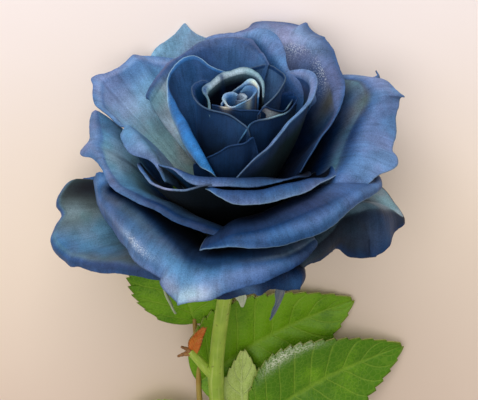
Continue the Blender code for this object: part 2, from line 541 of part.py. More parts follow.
# The stem with its slanting cut and its prickles.
stem_rows = smooth_line(STEM, 22)
stem = tube("stem", stem_rows, rose, green, sides=2)
stem_room = tube("stem_room", stem_rows + [0, 0, 0, GAP], cutters, green, sides=2)
slant = bpy.data.meshes.new("slant")
block = bmesh.new()
bmesh.ops.create_cube(block, size=0.03)
block.to_mesh(slant)
block.free()
slant_cutter = bpy.data.objects.new("slant", slant)
cutters.objects.link(slant_cutter)
slant_cutter.rotation_euler = (radians(CUT_SLOPE), 0, radians(-6))
slant_cutter.location = (6.2 * MM, (CUT_Y - 19) * MM, 3 * MM)
cut(stem, slant_cutter)
prickles = collection("prickles")
for y, around in PRICKLES:
    near = stem_rows[np.argmin(np.abs(stem_rows[:, 1] - y))]
    out = np.array([cos(radians(around)), -0.25, sin(radians(around))])
    rows = [near[:3] + out * (near[3] + reach) for reach in (-1.0, 0.6, 2.2, PRICKLE_LONG)]
    rows[3][1] -= 1.2
    sizes = [PRICKLE_ROOT, PRICKLE_ROOT * 0.62, PRICKLE_ROOT * 0.34, 0.3]
    tube(f"prickle_{-y}", np.column_stack([rows, sizes]), prickles, green, sides=1)
join(stem, prickles)

upper = compound_leaf("leaf_upper", UPPER_STALK, UPPER_LEAFLETS, rose, leaf_green, stem_room)
lower = compound_leaf("leaf_lower", LOWER_STALK, LOWER_LEAFLETS, rose, leaf_green, stem_room)

# The side shoot on the stem.
shoot = tube("side_shoot", smooth_line(SHOOT, 6), rose, shoot_green, sides=1)
tips = collection("tips")
for number, (start, end) in enumerate(DRY_TIPS):
    rows = smooth_line([start, (np.add(start, end) / 2 + [0, 0.4, 0.2]).tolist(), end], 4)
    tube(f"dry_tip_{number}", np.column_stack([rows, np.linspace(1.0, 0.35, 5)]), tips, shoot_green, sides=1)
sheet("young_leaf", leaflet_points(**YOUNG_LEAF, grid=(8, 2)), LEAF_THICK, tips, shoot_green)
join(shoot, tips)
cut(shoot, stem_room)

# The origin goes to the middle of the bottom of the bounding box.
pieces = [bloom, calyx, stem, upper, lower, shoot]
corners = np.array([vertex.co for piece in pieces for vertex in piece.data.vertices])
low, high = corners.min(axis=0), corners.max(axis=0)
shift = [-(low[0] + high[0]) / 2, -(low[1] + high[1]) / 2, -low[2]]
for piece in pieces:
    piece.location = shift
    print(piece.name, sum(len(face.vertices) - 2 for face in piece.data.polygons), "triangles")
print("size", np.round((high - low) * 1000, 2), "shift", np.round(np.array(shift) * 1000, 3))
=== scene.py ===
# %% [markdown]
# # A cut rose, blue and wide open
#
# The solids of this rose were made first, with plain closed blades, so that they can be packed and
# dropped on a table. This script dresses them: every plain node is replaced by finer pieces of the
# same form, with thin waved petals, toothed and veined leaves, and a finish for each of them.
#
# The flower has its own frame, which makes its petals easy to place. Its origin is on top of the hip,
# the flower's axis is Z, and a bearing is an angle round that axis. Bearing 0 is the right of the
# picture, 90 the back, 180 the left and 270 the front. Sizes are in millimetres until a mesh is made.

from math import cos, pi, radians, sin

import bmesh
import bpy
import numpy as np
from mathutils import Matrix, Vector


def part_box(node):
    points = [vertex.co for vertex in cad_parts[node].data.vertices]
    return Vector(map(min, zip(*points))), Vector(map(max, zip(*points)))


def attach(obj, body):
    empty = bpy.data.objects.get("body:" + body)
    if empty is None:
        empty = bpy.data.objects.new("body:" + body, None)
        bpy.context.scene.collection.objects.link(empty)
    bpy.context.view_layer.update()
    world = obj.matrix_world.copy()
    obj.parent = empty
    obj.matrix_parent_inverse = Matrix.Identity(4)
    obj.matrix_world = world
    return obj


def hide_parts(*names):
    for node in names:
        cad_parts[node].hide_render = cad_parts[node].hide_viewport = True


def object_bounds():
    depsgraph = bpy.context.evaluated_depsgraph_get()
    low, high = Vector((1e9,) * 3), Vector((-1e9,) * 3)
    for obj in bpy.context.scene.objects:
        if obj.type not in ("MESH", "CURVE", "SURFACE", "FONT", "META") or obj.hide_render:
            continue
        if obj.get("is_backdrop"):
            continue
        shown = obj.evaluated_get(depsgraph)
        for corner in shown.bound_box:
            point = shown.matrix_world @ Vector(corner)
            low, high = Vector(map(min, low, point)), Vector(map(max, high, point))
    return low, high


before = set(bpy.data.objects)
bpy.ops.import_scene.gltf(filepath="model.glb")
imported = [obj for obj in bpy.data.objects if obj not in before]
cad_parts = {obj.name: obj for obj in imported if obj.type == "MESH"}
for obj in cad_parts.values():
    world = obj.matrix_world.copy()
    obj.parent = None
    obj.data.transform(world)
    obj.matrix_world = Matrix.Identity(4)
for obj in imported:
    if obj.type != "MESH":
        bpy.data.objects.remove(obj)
cad_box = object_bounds()
MM = 0.001
print("nodes to dress:", sorted(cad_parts))
print("box in mm:", [round(side / MM, 1) for side in cad_box[1] - cad_box[0]])

# %% [markdown]
# The rose lies on its side, as a cut flower does. Its axis rises a little from the table, and what
# would sink into the table is eased up to lie flat on it. The same formulas placed the solids, so
# the finer pieces land where the solids are. The last shift brings the origin under the middle of
# the box, and it is checked below against the box of the stem.

# %% From the flower's frame to the table
TILT = 15.0
HIGH = 30.0
FLOOR = 0.45
SOFT = 1.6
SHIFT = np.array([-0.824, 66.199, -0.071])


def soft_floor(z):
    """Heights near the table are eased up, so that what would sink in lies flat on it."""
    low = SOFT - (SOFT - FLOOR) * np.tanh((SOFT - z) / (SOFT - FLOOR))
    return np.where(z < SOFT, low, z)


def lie_down(points):
    """From the flower's frame to the table, before the shift."""
    a = radians(TILT)
    x, y, z = points[..., 0], points[..., 1], points[..., 2]
    high = HIGH + z * sin(a) - y * cos(a)
    return np.stack([x, z * cos(a) + y * sin(a), soft_floor(high)], -1)


print("the flower's origin is at", np.round(lie_down(np.zeros(3)) + SHIFT, 1), "mm")

# %% [markdown]
# Most pieces are blades: petals, sepals and leaflets. Each starts as a flat grid from
# `bmesh.ops.create_grid`, and a formula moves its points. Grid rows run from the root to the tip and
# columns run across, so the grid's own UV map follows the blade, which the veins need. A Solidify
# modifier gives the thickness, and its material offset gives the two sides their own finish.
#
# Values that the finish needs at each point, such as the distance to the free edge, are kept on the
# mesh as attributes. They are worked out from the same formulas as the shape.

# %% Blades from a grid
SEAM_GAP = 0.002
pieces = []


def keep(piece, node):
    """The piece moves with the flower and stands for its solid, which is hidden."""
    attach(piece, "root")
    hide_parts(node)
    pieces.append(piece)
    return piece


def moved_grid(points, wrap=False, **values):
    """A bmesh grid moved on to rows of points, with these values kept at its vertices."""
    rows, columns = points.shape[0] - 1, points.shape[1] - 1
    grid = bmesh.new()
    grid.loops.layers.uv.new("along")
    layers = grid.verts.layers
    kinds = {}
    for key, value in values.items():
        kinds[key] = layers.float_color if value.ndim == 3 else layers.float
        kinds[key].new(key)
    bmesh.ops.create_grid(grid, x_segments=columns, y_segments=rows, size=1, calc_uvs=True)
    kept = [(kinds[key][key], value) for key, value in values.items()]
    for vertex in grid.verts:
        column = round((vertex.co.x + 1) / 2 * columns)
        row = round((vertex.co.y + 1) / 2 * rows)
        vertex.co = (points[row, column] + SHIFT) * MM
        for layer, value in kept:
            here = value[row, column]
            vertex[layer] = (*here, 1.0) if value.ndim == 3 else here
    if wrap:
        bmesh.ops.remove_doubles(grid, verts=grid.verts[:], dist=SEAM_GAP * MM)
        bmesh.ops.recalc_face_normals(grid, faces=grid.faces[:])
    return grid


def finished(name, grid, materials):
    """The bmesh as a smooth object with these materials."""
    mesh = bpy.data.meshes.new(name)
    grid.to_mesh(mesh)
    grid.free()
    mesh.polygons.foreach_set("use_smooth", np.ones(len(mesh.polygons), bool))
    for material in materials:
        mesh.materials.append(material)
    made = bpy.data.objects.new(name, mesh)
    bpy.context.scene.collection.objects.link(made)
    return made


def blade(name, points, thick, materials, **values):
    """A thin closed blade, with the first material on its back and the last on its face."""
    made = finished(name, moved_grid(points, **values), materials)
    solid = made.modifiers.new("Thickness", "SOLIDIFY")
    solid.thickness = thick * MM
    solid.offset = 0
    solid.material_offset = len(materials) - 1
    return made


# %% [markdown]
# ## The petals' shape
#
# A rose petal stands on a narrow claw, rises in a hollow curve and rolls back at its free margin.
# So each petal here is a surface stretched between two lines: a short arc at its root, and its crest,
# a line through a few points in space where the lip starts. The body is a Bezier curve from root to
# crest, and past the crest the lip rolls back. Most of the roll is in one bend, as in a real petal.
#
# The dimensions of a petal are its row below: the bearing of its claw and the claw's reach r0, the
# angle a0 at which it leaves the claw and a1 at which it meets the crest, the length of its lip, the
# place of the bend in the lip at its left and right end, and the points of its crest. A crest point
# has its bearing, reach and height, the degrees that the lip rolls there, and its share of the length.
# A sixth number, where there is one, is how many degrees the lip is folded aside there. A fan below 1
# keeps the sides of a petal more parallel.

# %% The rows of dimensions
CLAW = 24.0
ROOT_Z = 1.4
RISE = 0.42
REACH = 0.34
TIGHTEST_ROLL = 1.0
BEND_WIDE = 0.6
SHORTEST_LIP = 0.7
SCALLOP = 0.03
RIPPLE = 0.07
SWAY = 0.0055
PETALS = dict(
    left_low=dict(bearing=192, r0=7.8, a0=5, a1=-10, lip=5, fan=0.8, bend=(0.4, 0.4), crest=[
        (160, 28, 12, 85, 1), (162, 44.5, 5, 60, 1), (163, 48.5, 6, 60, 1), (168, 51, 4.5, 70, 0.8),
        (172, 51, 3, 70, 0.8), (175, 49, 1, 70, 0.75), (178, 50.5, -1, 75, 0.9),
        (183, 51, -2.5, 85, 1.15), (191, 47, -3, 90, 1.15), (195, 45, -2, 90, 0.9),
        (202, 41, -0.5, 85, 0.95), (215, 35, 2.5, 85, 1), (250, 28, 3, 85, 1),
    ]),
    right_low=dict(bearing=335, r0=7.8, a0=5, a1=-35, lip=13, fan=0.8, bend=(0.35, 0.3), crest=[
        (295, 28, 4, 60, 1), (310, 30, 7, 70, 0.4, -20), (322, 31, 8.5, 60, 0.45, -30),
        (332, 32, 9.5, 60, 0.52, -40), (340, 32.5, 10.5, 60, 0.72, -50), (345, 34.5, 11, 60, 1.1, -60),
        (347, 37, 11.5, 60, 1.24, -68), (348, 39.5, 12.5, 50, 1.22, -68), (350, 42, 12, 38, 1.1, -56),
        (353, 44, 10, 30, 0.84, -48), (358, 46.5, 7, 30, 0.5, -50), (0, 50, 3, 50, 0.14),
        (6, 48, 4, 40, 0.15), (12, 46.5, 5.5, 40, 0.2), (16, 40, 12, 30, 0.2),
    ]),
    under_front=dict(bearing=292, r0=7.8, a0=-5, a1=-15, lip=7, fan=0.8, crest=[
        (255, 27, -1, 75, 1), (276, 33, 7.5, 75, 0.8), (281, 34.5, 8.5, 75, 0.85),
        (288, 33.5, 8.5, 75, 0.75), (297, 32.5, 7, 75, 0.95), (304, 32.5, 6.5, 75, 1.05),
        (315, 28, 1, 75, 1),
    ]),
    back_tip=dict(bearing=105, r0=7.8, a0=40, a1=60, lip=3.5, crest=[
        (70, 33, 26, 30, 1), (97, 40.5, 37.5, 30, 0.4), (102, 43, 38, 30, 0.5),
        (105, 43.5, 39, 30, 0.75), (108, 44, 40.5, 30, 1.1), (111, 44.5, 39, 30, 0.85),
        (114, 44.5, 36.5, 30, 1), (121, 43.5, 33.5, 30, 1), (140, 38, 22, 30, 1),
    ]),
    back_right_low=dict(bearing=50, r0=7.8, a0=28, a1=35, lip=3, crest=[
        (8, 34, 18, 70, 1), (22, 43, 27, 70, 1), (30, 48.5, 34, 80, 1.2), (30, 47.5, 35.5, 80, 1.2),
        (44, 42, 28, 70, 1), (60, 46, 29, 70, 1), (74, 38, 24, 70, 1), (85, 30, 18, 70, 1),
    ]),
    front=dict(bearing=252, r0=7.4, a0=14, a1=5, lip=14, fan=0.7, bend=(0.3, 0.75), crest=[
        (190, 33, 20, 90, 0.7), (190, 35, 17.5, 100, 0.8), (203, 31, 18.5, 95, 0.98),
        (221, 30, 19, 85, 1.02), (239, 32.5, 17.5, 75, 0.9), (247, 34.5, 16.5, 68, 0.82),
        (250, 35.5, 15.5, 62, 0.97, 3), (252, 36, 15.5, 60, 1.15, 6), (254, 36.5, 15.5, 58, 1.07, 2),
        (263, 37.5, 16.5, 55, 0.92), (269, 37, 17, 55, 0.8), (282, 38, 18.5, 55, 0.66),
        (296, 36.5, 17, 55, 0.48), (312, 34, 15, 50, 0.35),
    ]),
    right=dict(bearing=12, r0=7.2, a0=36, a1=25, lip=14, fan=0.9, bend=(0.4, 0.4), crest=[
        (316, 30, 22, 60, 0.2), (321, 32, 23.5, 60, 0.25), (331, 30.5, 27, 55, 0.72),
        (341, 30.5, 28.5, 50, 0.95), (349, 30.5, 29, 50, 1.22), (355, 31.5, 30, 50, 1.05),
        (7, 34, 31, 50, 1.03), (13, 37, 33.5, 50, 0.98), (16, 39, 35.5, 50, 1),
        (20, 40.5, 36.5, 50, 0.8), (27, 41.5, 37, 45, 0.6), (33, 41, 36, 40, 0.4),
        (45, 36, 34, 40, 0.4),
    ]),
    back_right=dict(bearing=50, r0=6.9, a0=60, a1=60, lip=10.5, bend=(0.4, 0.4), crest=[
        (323, 23, 29, 20, 0.1), (335, 23.5, 32.5, 20, 0.12), (351, 25, 34.5, 20, 0.15),
        (8, 29, 36, 20, 0.2), (19, 30.5, 37.5, 60, 0.42), (32, 32, 39, 80, 0.6),
        (43, 33.5, 42, 80, 0.78), (50, 34, 43.5, 80, 0.85), (56, 34.5, 43, 80, 0.92),
        (60, 34, 42.5, 80, 1.35), (63, 33.5, 42, 80, 1.3, -12), (72, 33.5, 41.5, 80, 1.35),
        (82, 32, 42.5, 80, 0.9), (98, 34, 43, 80, 0.25),
    ]),
    back_left=dict(bearing=148, r0=7, a0=50, a1=42, lip=5, crest=[
        (112, 31, 35, 40, 1), (125, 40, 34, 40, 1), (131, 41, 36.5, 45, 0.9), (138, 42, 35, 45, 0.65),
        (145, 43, 34.5, 45, 0.7), (148, 43.5, 34, 50, 1.02), (151, 42.5, 34, 50, 0.98),
        (154, 41.5, 32.5, 50, 0.88), (159, 39, 31.5, 45, 0.75), (163, 35, 30.5, 45, 0.45),
        (167, 31.5, 30, 60, 0.35), (170, 29, 31.5, 90, 0.5, 10), (172, 27.5, 31.5, 95, 1.15, 20),
        (180, 24.5, 31, 95, 1.6, 32), (190, 22.5, 30, 90, 1.55, 42), (199, 21, 27.5, 50, 0.6, 25),
        (218, 23, 26, 30, 0.3),
    ]),
    left=dict(bearing=222, r0=6.9, a0=36, a1=20, lip=7, crest=[
        (150, 34, 20, 65, 1), (153, 44, 26.5, 70, 0.35), (155, 43, 26, 70, 0.55),
        (162, 39.5, 25, 75, 0.75), (166, 38, 24, 75, 0.9), (171, 37.5, 23.5, 75, 1.2),
        (177, 36.5, 24, 75, 0.75), (183, 35.5, 23, 65, 0.35), (198, 33, 23, 60, 0.4),
        (212, 30, 23, 60, 0.45), (230, 28.5, 24, 60, 0.45), (246, 28.5, 22.5, 60, 0.45),
        (259, 28.5, 21, 60, 0.45), (269, 29, 20, 60, 0.35), (300, 27, 18, 65, 1),
    ]),
    front_right=dict(bearing=302, r0=7, a0=40, a1=-5, lip=7.5, crest=[
        (256, 35, 18.5, 60, 0.1), (262, 35.5, 21, 60, 0.25), (271, 36, 25, 60, 0.55),
        (284, 36, 26.5, 70, 0.82), (297, 37, 28.5, 75, 1.02), (309, 37.5, 29.5, 75, 0.98),
        (321, 38, 29, 75, 0.7), (329, 39.5, 28.5, 75, 0.6), (343, 41.5, 25, 75, 0.45),
        (355, 38, 24, 75, 1),
    ]),
    back=dict(bearing=100, r0=6.2, a0=64, a1=62, lip=6.5, bend=(0.4, 0.4), crest=[
        (54, 17.5, 46, 90, 0.2), (69, 20.5, 46, 90, 0.4), (82, 23, 46, 90, 0.95),
        (92, 26, 44.5, 100, 1.15), (101, 27.5, 43.5, 100, 1.1), (110, 27.5, 43, 100, 1),
        (120, 27.5, 41, 100, 0.8), (131, 26.5, 40, 90, 0.7), (150, 27, 34, 100, 1),
    ]),
    back_right_inner=dict(bearing=62, r0=6.4, a0=64, a1=60, lip=7, crest=[
        (18, 23, 36, 80, 1), (42, 21, 42.5, 30, 0.3), (57, 22.5, 43.5, 60, 0.8),
        (70, 26.5, 44.5, 65, 1), (79, 29.5, 45, 65, 0.8), (86, 31, 44, 60, 0.5),
        (105, 31.5, 42, 80, 1),
    ]),
    front_third=dict(bearing=275, r0=6, a0=54, a1=38, lip=6, crest=[
        (236, 22, 25, 40, 0.2), (253, 25, 31.5, 60, 0.2), (265, 28, 33.5, 90, 0.6),
        (273, 29, 34, 100, 1), (286, 29, 33.5, 100, 1), (299, 29.5, 34, 100, 1),
        (312, 29.5, 32.5, 80, 0.8), (328, 30.5, 29, 60, 0.3), (345, 28, 27, 100, 1),
    ]),
    front_left_inner=dict(bearing=222, r0=6.5, a0=50, a1=60, lip=1.5, crest=[
        (180, 26, 22, 60, 1), (198, 26.5, 26.5, 60, 1), (205, 26.5, 26.5, 60, 1),
        (219, 27, 27.5, 60, 1), (234, 28.5, 30, 60, 1), (244, 29, 32, 60, 1), (250, 28, 33, 60, 1),
        (255, 27, 33.5, 60, 0.6), (263, 25, 33, 60, 0.5), (285, 19, 27, 60, 0.5),
    ]),
    front_inner=dict(bearing=250, r0=5.7, a0=60, a1=45, lip=4, crest=[
        (200, 21, 26, 50, 0.3), (209, 22.5, 29.5, 60, 0.2), (228, 23, 32.5, 80, 0.35),
        (239, 23, 33, 100, 0.7), (249, 23.5, 33.5, 110, 1), (269, 24, 34.5, 110, 1),
        (288, 24, 33.5, 110, 1), (309, 24.5, 31, 60, 0.3), (335, 23, 26, 110, 1),
    ]),
    left_inner=dict(bearing=145, r0=5.3, a0=66, a1=70, lip=7.5, crest=[
        (85, 20, 38, 40, 0.2), (106, 21, 41, 60, 0.15), (115, 24.5, 43, 70, 0.2),
        (125, 24.5, 43.5, 70, 0.18), (139, 23, 42, 90, 0.15), (153, 20, 41, 110, 0.15),
        (166, 16, 39, 145, 0.5), (194, 12.5, 37.5, 160, 0.85), (224, 13, 35, 160, 0.9),
        (245, 15.5, 32.5, 150, 0.7), (255, 17.5, 29.5, 60, 0.25),
    ]),
    right_inner=dict(bearing=5, r0=4.9, a0=66, a1=84, lip=3.5, crest=[
        (273, 20, 31, 30, 0.2), (284, 19, 34.5, 40, 0.5), (299, 18.5, 37.5, 50, 0.85),
        (328, 17, 40, 50, 0.9), (354, 19.5, 41.5, 55, 1), (13, 22.5, 42.5, 55, 1.1),
        (22, 23.5, 43.5, 50, 1.1), (34, 23, 43, 45, 0.8), (44, 21.5, 42.5, 40, 0.4),
        (75, 19, 38, 45, 1),
    ]),
    bud_front_low=dict(bearing=262, r0=4.6, a0=66, a1=88, lip=1.2, crest=[
        (225, 15, 29, 30, 1), (255, 14.5, 35, 30, 1), (268, 15, 38, 30, 1), (282, 15.5, 39, 30, 1),
        (292, 15, 40, 90, 1.3), (295, 15.5, 37.5, 30, 1), (298, 16, 33.5, 30, 1), (310, 14, 24, 30, 1),
    ]),
    bud_right=dict(bearing=320, r0=4.2, a0=72, a1=88, lip=1.2, crest=[
        (268, 12, 32, 40, 1), (294, 10.5, 40.5, 40, 1), (304, 11.5, 42.5, 40, 1),
        (323, 13, 42.5, 40, 1), (344, 14.5, 41, 40, 1), (0, 16.5, 40.5, 40, 1),
        (16, 18.5, 40.5, 40, 1), (35, 17, 38, 40, 1),
    ]),
    bud_left=dict(bearing=215, r0=3.9, a0=74, a1=90, lip=1.6, crest=[
        (124, 9.5, 43, 60, 0.6), (134, 11, 44, 60, 1), (152, 11.5, 43.5, 60, 1.3),
        (168, 10, 42, 60, 1.2), (192, 7.5, 41.5, 50, 1.1), (258, 5, 41.5, 40, 0.8),
        (286, 8.5, 41.5, 30, 0.6), (294, 11, 40.5, 20, 0.5), (300, 11, 31, 40, 1),
    ]),
    bud_back=dict(bearing=38, r0=3.5, a0=74, a1=88, lip=1.2, crest=[
        (353, 8.5, 41.5, 60, 1), (11, 11, 42, 60, 1), (24, 14.5, 42.5, 60, 1), (33, 17.5, 44, 60, 1),
        (41, 18, 44.5, 60, 1), (55, 18, 45, 60, 1), (69, 16, 44, 60, 1), (85, 13, 44, 60, 1),
        (118, 12.5, 41, 60, 1),
    ]),
    bud_right_inner=dict(bearing=345, r0=3.1, a0=76, a1=88, lip=2, crest=[
        (328, 8.5, 41.5, 10, 0.3), (347, 9, 42, 60, 1), (355, 11.5, 40.5, 60, 0.7),
        (4, 14.5, 39, 40, 0.4), (17, 17, 39, 30, 0.4), (25, 19, 40, 30, 0.6), (30, 14, 40, 50, 1),
    ]),
    bud_arch=dict(bearing=85, r0=2.8, a0=76, a1=88, lip=2, crest=[
        (13, 9, 43.5, 60, 0.6), (35, 10.5, 44.5, 70, 0.7), (54, 11.5, 45, 80, 0.9),
        (73, 11.5, 45.5, 80, 1.1), (90, 10.5, 45, 80, 0.9), (107, 9.5, 44.5, 80, 1.15),
        (125, 9, 43.5, 80, 1), (143, 8.5, 42.5, 80, 1.3), (166, 6.5, 42, 60, 0.6),
        (205, 6.5, 40, 80, 1),
    ]),
    bud_front=dict(bearing=268, r0=2.5, a0=80, a1=90, lip=1, crest=[
        (175, 5.5, 41.5, 40, 1), (223, 3.5, 42.5, 40, 1), (300, 4.5, 42.5, 40, 1), (334, 8, 42, 40, 1),
        (348, 9.5, 40, 40, 1),
    ]),
    heart_left=dict(bearing=130, r0=2, a0=82, a1=90, lip=1.2, crest=[
        (11, 7.5, 43.5, 60, 1), (33, 8.5, 44.5, 60, 1), (48, 8, 45.5, 60, 1.3),
        (62, 6.5, 44.5, 60, 0.8), (75, 4.5, 44, 60, 0.6), (125, 2, 43.5, 60, 0.6),
        (198, 3, 42.5, 60, 1),
    ]),
    heart_right=dict(bearing=10, r0=1.6, a0=84, a1=90, lip=1, crest=[
        (289, 3.5, 43.5, 50, 1), (324, 4, 44, 50, 1.2), (354, 5, 44, 50, 1), (18, 6.5, 44.5, 80, 1.9),
        (35, 5, 45, 80, 1.7), (46, 3.5, 44.5, 50, 0.6),
    ]),
    heart_front=dict(bearing=200, r0=1.2, a0=84, a1=90, lip=1, crest=[
        (28, 2.5, 44, 50, 1), (66, 1.5, 44.5, 50, 1), (142, 1, 44, 80, 1.9), (208, 2, 43.5, 80, 1.9),
        (261, 3, 43, 50, 0.8), (300, 3.5, 43.5, 50, 0.6),
    ]),
    heart_middle=dict(bearing=330, r0=0.8, a0=86, a1=90, lip=0.8, crest=[
        (314, 1.5, 44, 20, 1), (325, 3, 44, 30, 1.4), (357, 4, 44.5, 20, 1), (17, 2.5, 45, 20, 1),
        (23, 1.5, 44, 20, 1),
    ]),
)
print(len(PETALS), "petals")

# %% [markdown]
# Real petals are never as even as a formula. Sums of a few sine waves with seeded phases stand in
# for the way a petal crinkled in the bud: long waves along the margin, a lip that is wider here and
# narrower there, and small nicks in its edge. Each petal has its own seed, so every run is the same.

# %% Lines and waves
def smooth_line(knots, count):
    """A smooth line through the knots, with count + 1 rows evenly spaced along it."""
    knots = np.asarray(knots, float)
    steps = np.linalg.norm(np.diff(knots[:, :3], axis=0), axis=1) ** 0.8
    along = np.concatenate([[0], np.cumsum(steps)])
    along /= along[-1]
    pull = np.gradient(knots, along, axis=0, edge_order=1)
    pull[1:-1] = (knots[2:] - knots[:-2]) / (along[2:] - along[:-2])[:, None]
    u = np.linspace(0, 1, count + 1)
    i = np.clip(np.searchsorted(along, u) - 1, 0, len(along) - 2)
    wide = along[i + 1] - along[i]
    s = ((u - along[i]) / wide)[:, None]
    wide = wide[:, None]
    line = (2 * s**3 - 3 * s**2 + 1) * knots[i] + (3 * s**2 - 2 * s**3) * knots[i + 1]
    return line + (s**3 - 2 * s**2 + s) * wide * pull[i] + (s**3 - s**2) * wide * pull[i + 1]


def aim(bearing, rise):
    """The direction at this bearing and rise, in degrees."""
    b, r = np.radians(bearing), np.radians(rise)
    return np.stack([np.cos(r) * np.cos(b), np.cos(r) * np.sin(b), np.sin(r) + 0 * b], -1)


def waves(places, lengths, seed):
    """A sum of sine waves of these lengths with seeded phases, about -1 to 1."""
    draw = np.random.default_rng(seed)
    total = 0
    for length in lengths:
        total = total + np.sin(2 * pi * (places / (length * draw.uniform(0.8, 1.25)) + draw.uniform()))
    return total / len(lengths)


# %% [markdown]
# A petal's surface has a body and a lip. The body's rows go from the claw at t = 0 to the crest at
# t = 1, and the lip's rows from there to the free edge at t = 2. Across the petal, q runs from -1 at
# one side to 1 at the other. Every point also gets its margin, the distance to the free edge in mm.

# %% A petal's surface
def petal_surface(petal, across, body_rows, lip_rows, seed):
    """Rows of points in the flower's frame, the places t and q of them, and their margin."""
    crest = np.array([(*point, 0)[:6] for point in petal["crest"]], float)
    crest[:, 0] = np.degrees(np.unwrap(np.radians(crest[:, 0])))
    turn = np.radians(crest[:, 0])
    reach, others = crest[:, 1], crest[:, 2:]
    knots = np.column_stack([reach * np.cos(turn), reach * np.sin(turn), others, crest[:, 0]])
    line = smooth_line(knots, across)
    top, roll, share, aside, bearing = line[:, :3], line[:, 3], line[:, 4], line[:, 5], line[:, 6]
    middle = (crest[0, 0] + crest[-1, 0]) / 2
    root_bearing = middle + (petal["bearing"] - middle + 180) % 360 - 180
    q = np.linspace(-1, 1, across + 1)
    root_turn = root_bearing + CLAW * q
    root = petal["r0"] * aim(root_turn, 0) + [0, 0, ROOT_Z]
    leave = aim(root_turn + 0.5 * (bearing - root_turn), petal["a0"])
    outward = root_bearing + petal.get("fan", 1.0) * (bearing - root_bearing)
    arrive = aim(outward, petal["a1"])
    chord = np.linalg.norm(top - root, axis=1)[:, None]
    first = root + RISE * chord * leave
    second = top - REACH * chord * arrive
    t = np.linspace(0, 1, body_rows + 1)[:, None, None]
    body = (1 - t) ** 3 * root + 3 * (1 - t) ** 2 * t * first + 3 * (1 - t) * t**2 * second + t**3 * top

    steps = np.linalg.norm(np.diff(top, axis=0), axis=1)
    mm_along = np.concatenate([[0], np.cumsum(steps)])
    along = np.gradient(top, axis=0)
    away = aim(outward + aside, petal["a1"])
    back = np.cross(along, away)
    back /= np.linalg.norm(back, axis=1)[:, None]
    length = petal["lip"] * share * (0.4 + 0.6 * np.sqrt(1 - np.abs(q) ** 5))
    length = length * (1 + SCALLOP * waves(mm_along, (19, 11), seed))
    length = length + RIPPLE * waves(mm_along, (3.1, 1.9), seed + 1)
    length = np.maximum(length, SHORTEST_LIP)
    roll = np.clip(np.radians(roll), 0.02, length * BEND_WIDE / TIGHTEST_ROLL)
    s = np.linspace(0, 1, lip_rows + 1)[1:, None]
    bend = np.interp(q, (-1, 1), petal.get("bend", (0.5, 0.5)))
    halfway = s - 0.5 / lip_rows
    curl = (roll * np.clip((halfway - bend) / BEND_WIDE + 0.5, 0, 1))[..., None]
    step = (length / lip_rows)[:, None]
    lip = top + np.cumsum(step * (np.cos(curl) * away + np.sin(curl) * back), axis=0)
    points = np.concatenate([body, lip])

    rows = np.concatenate([t.ravel(), 1 + s.ravel()])
    size = mm_along[-1]
    sway = waves(mm_along, (size / 2.2, size / 4.1), seed + 2) + 0.25 * waves(mm_along, (8,), seed + 3)
    rise = np.clip(rows, 0, 1)[:, None, None] ** 2.5
    points = points + rise * (SWAY * size**0.9 * sway[:, None]) * back
    body_length = np.linalg.norm(np.diff(body, axis=0), axis=2).sum(0)
    place = rows[:, None]
    tip_gap = np.where(place > 1, (2 - place) * length, length + (1 - place) * body_length)
    across_steps = np.linalg.norm(np.diff(points, axis=1), axis=2)
    width = np.concatenate([np.zeros((len(rows), 1)), np.cumsum(across_steps, axis=1)], 1)
    side_gap = np.minimum(width, width[:, -1:] - width)
    return points, rows, q, np.minimum(tip_gap, side_gap)


# %% [markdown]
# ## The petals' colours
#
# The flower is blue, but no petal has one blue. Dye follows the veins, so the margin is violet blue,
# the middle turns teal and the claw stays yellow-green to cream. Deep in the flower the petals are
# painted nearly black, which is painted shade. Each petal's colour is a short list of stops from its
# root at 0 to its crest at 1 and the edge of its lip at 2, and soft patches: some where the dye took
# more or less, and many that are painted shade and painted highlights. A patch has its place across
# and along the petal, its two half sizes, its colour and its strength. Where a petal has an edge
# value, its outermost line is painted that much paler, a painted highlight, and its gloss spots get a
# lower roughness and painted white glints.

# %% Named colours and the stops of each petal
COLOURS = dict(
    night=(0.001, 0.003, 0.009), ink=(0.001, 0.012, 0.050), navy=(0.005, 0.027, 0.095),
    dusk=(0.018, 0.058, 0.165), indigo=(0.036, 0.098, 0.250), violet=(0.085, 0.165, 0.350),
    lilac=(0.150, 0.225, 0.415), lavender=(0.310, 0.380, 0.600), azure=(0.020, 0.120, 0.350),
    sky=(0.100, 0.240, 0.430), light=(0.220, 0.370, 0.550), ice=(0.330, 0.490, 0.580),
    mist=(0.170, 0.285, 0.340), teal=(0.085, 0.165, 0.215), sage=(0.090, 0.140, 0.130),
    olive=(0.075, 0.092, 0.090), pine=(0.010, 0.026, 0.030), moss=(0.120, 0.170, 0.085),
    slate=(0.050, 0.078, 0.120), cream=(0.700, 0.700, 0.560), white=(0.700, 0.780, 0.840),
    flame=(0.040, 0.210, 0.540), plum=(0.026, 0.046, 0.115), pale=(0.340, 0.440, 0.400),
    pearl=(0.620, 0.850, 1.000), grape=(0.075, 0.115, 0.245), heather=(0.130, 0.185, 0.350),
)
# DEEP and BUD are painted shade: the inner petals are painted near black deep in the flower.
OUTER = [(0, "moss"), (0.35, "moss"), (0.6, "teal"), (0.85, "indigo"), (1.1, "violet"), (2, "violet")]
DEEP = [(0, "night"), (1.1, "night"), (1.3, "navy"), (1.55, "dusk"), (2, "indigo")]
BUD = [(0, "night"), (0.4, "ink"), (0.75, "navy"), (2, "navy")]
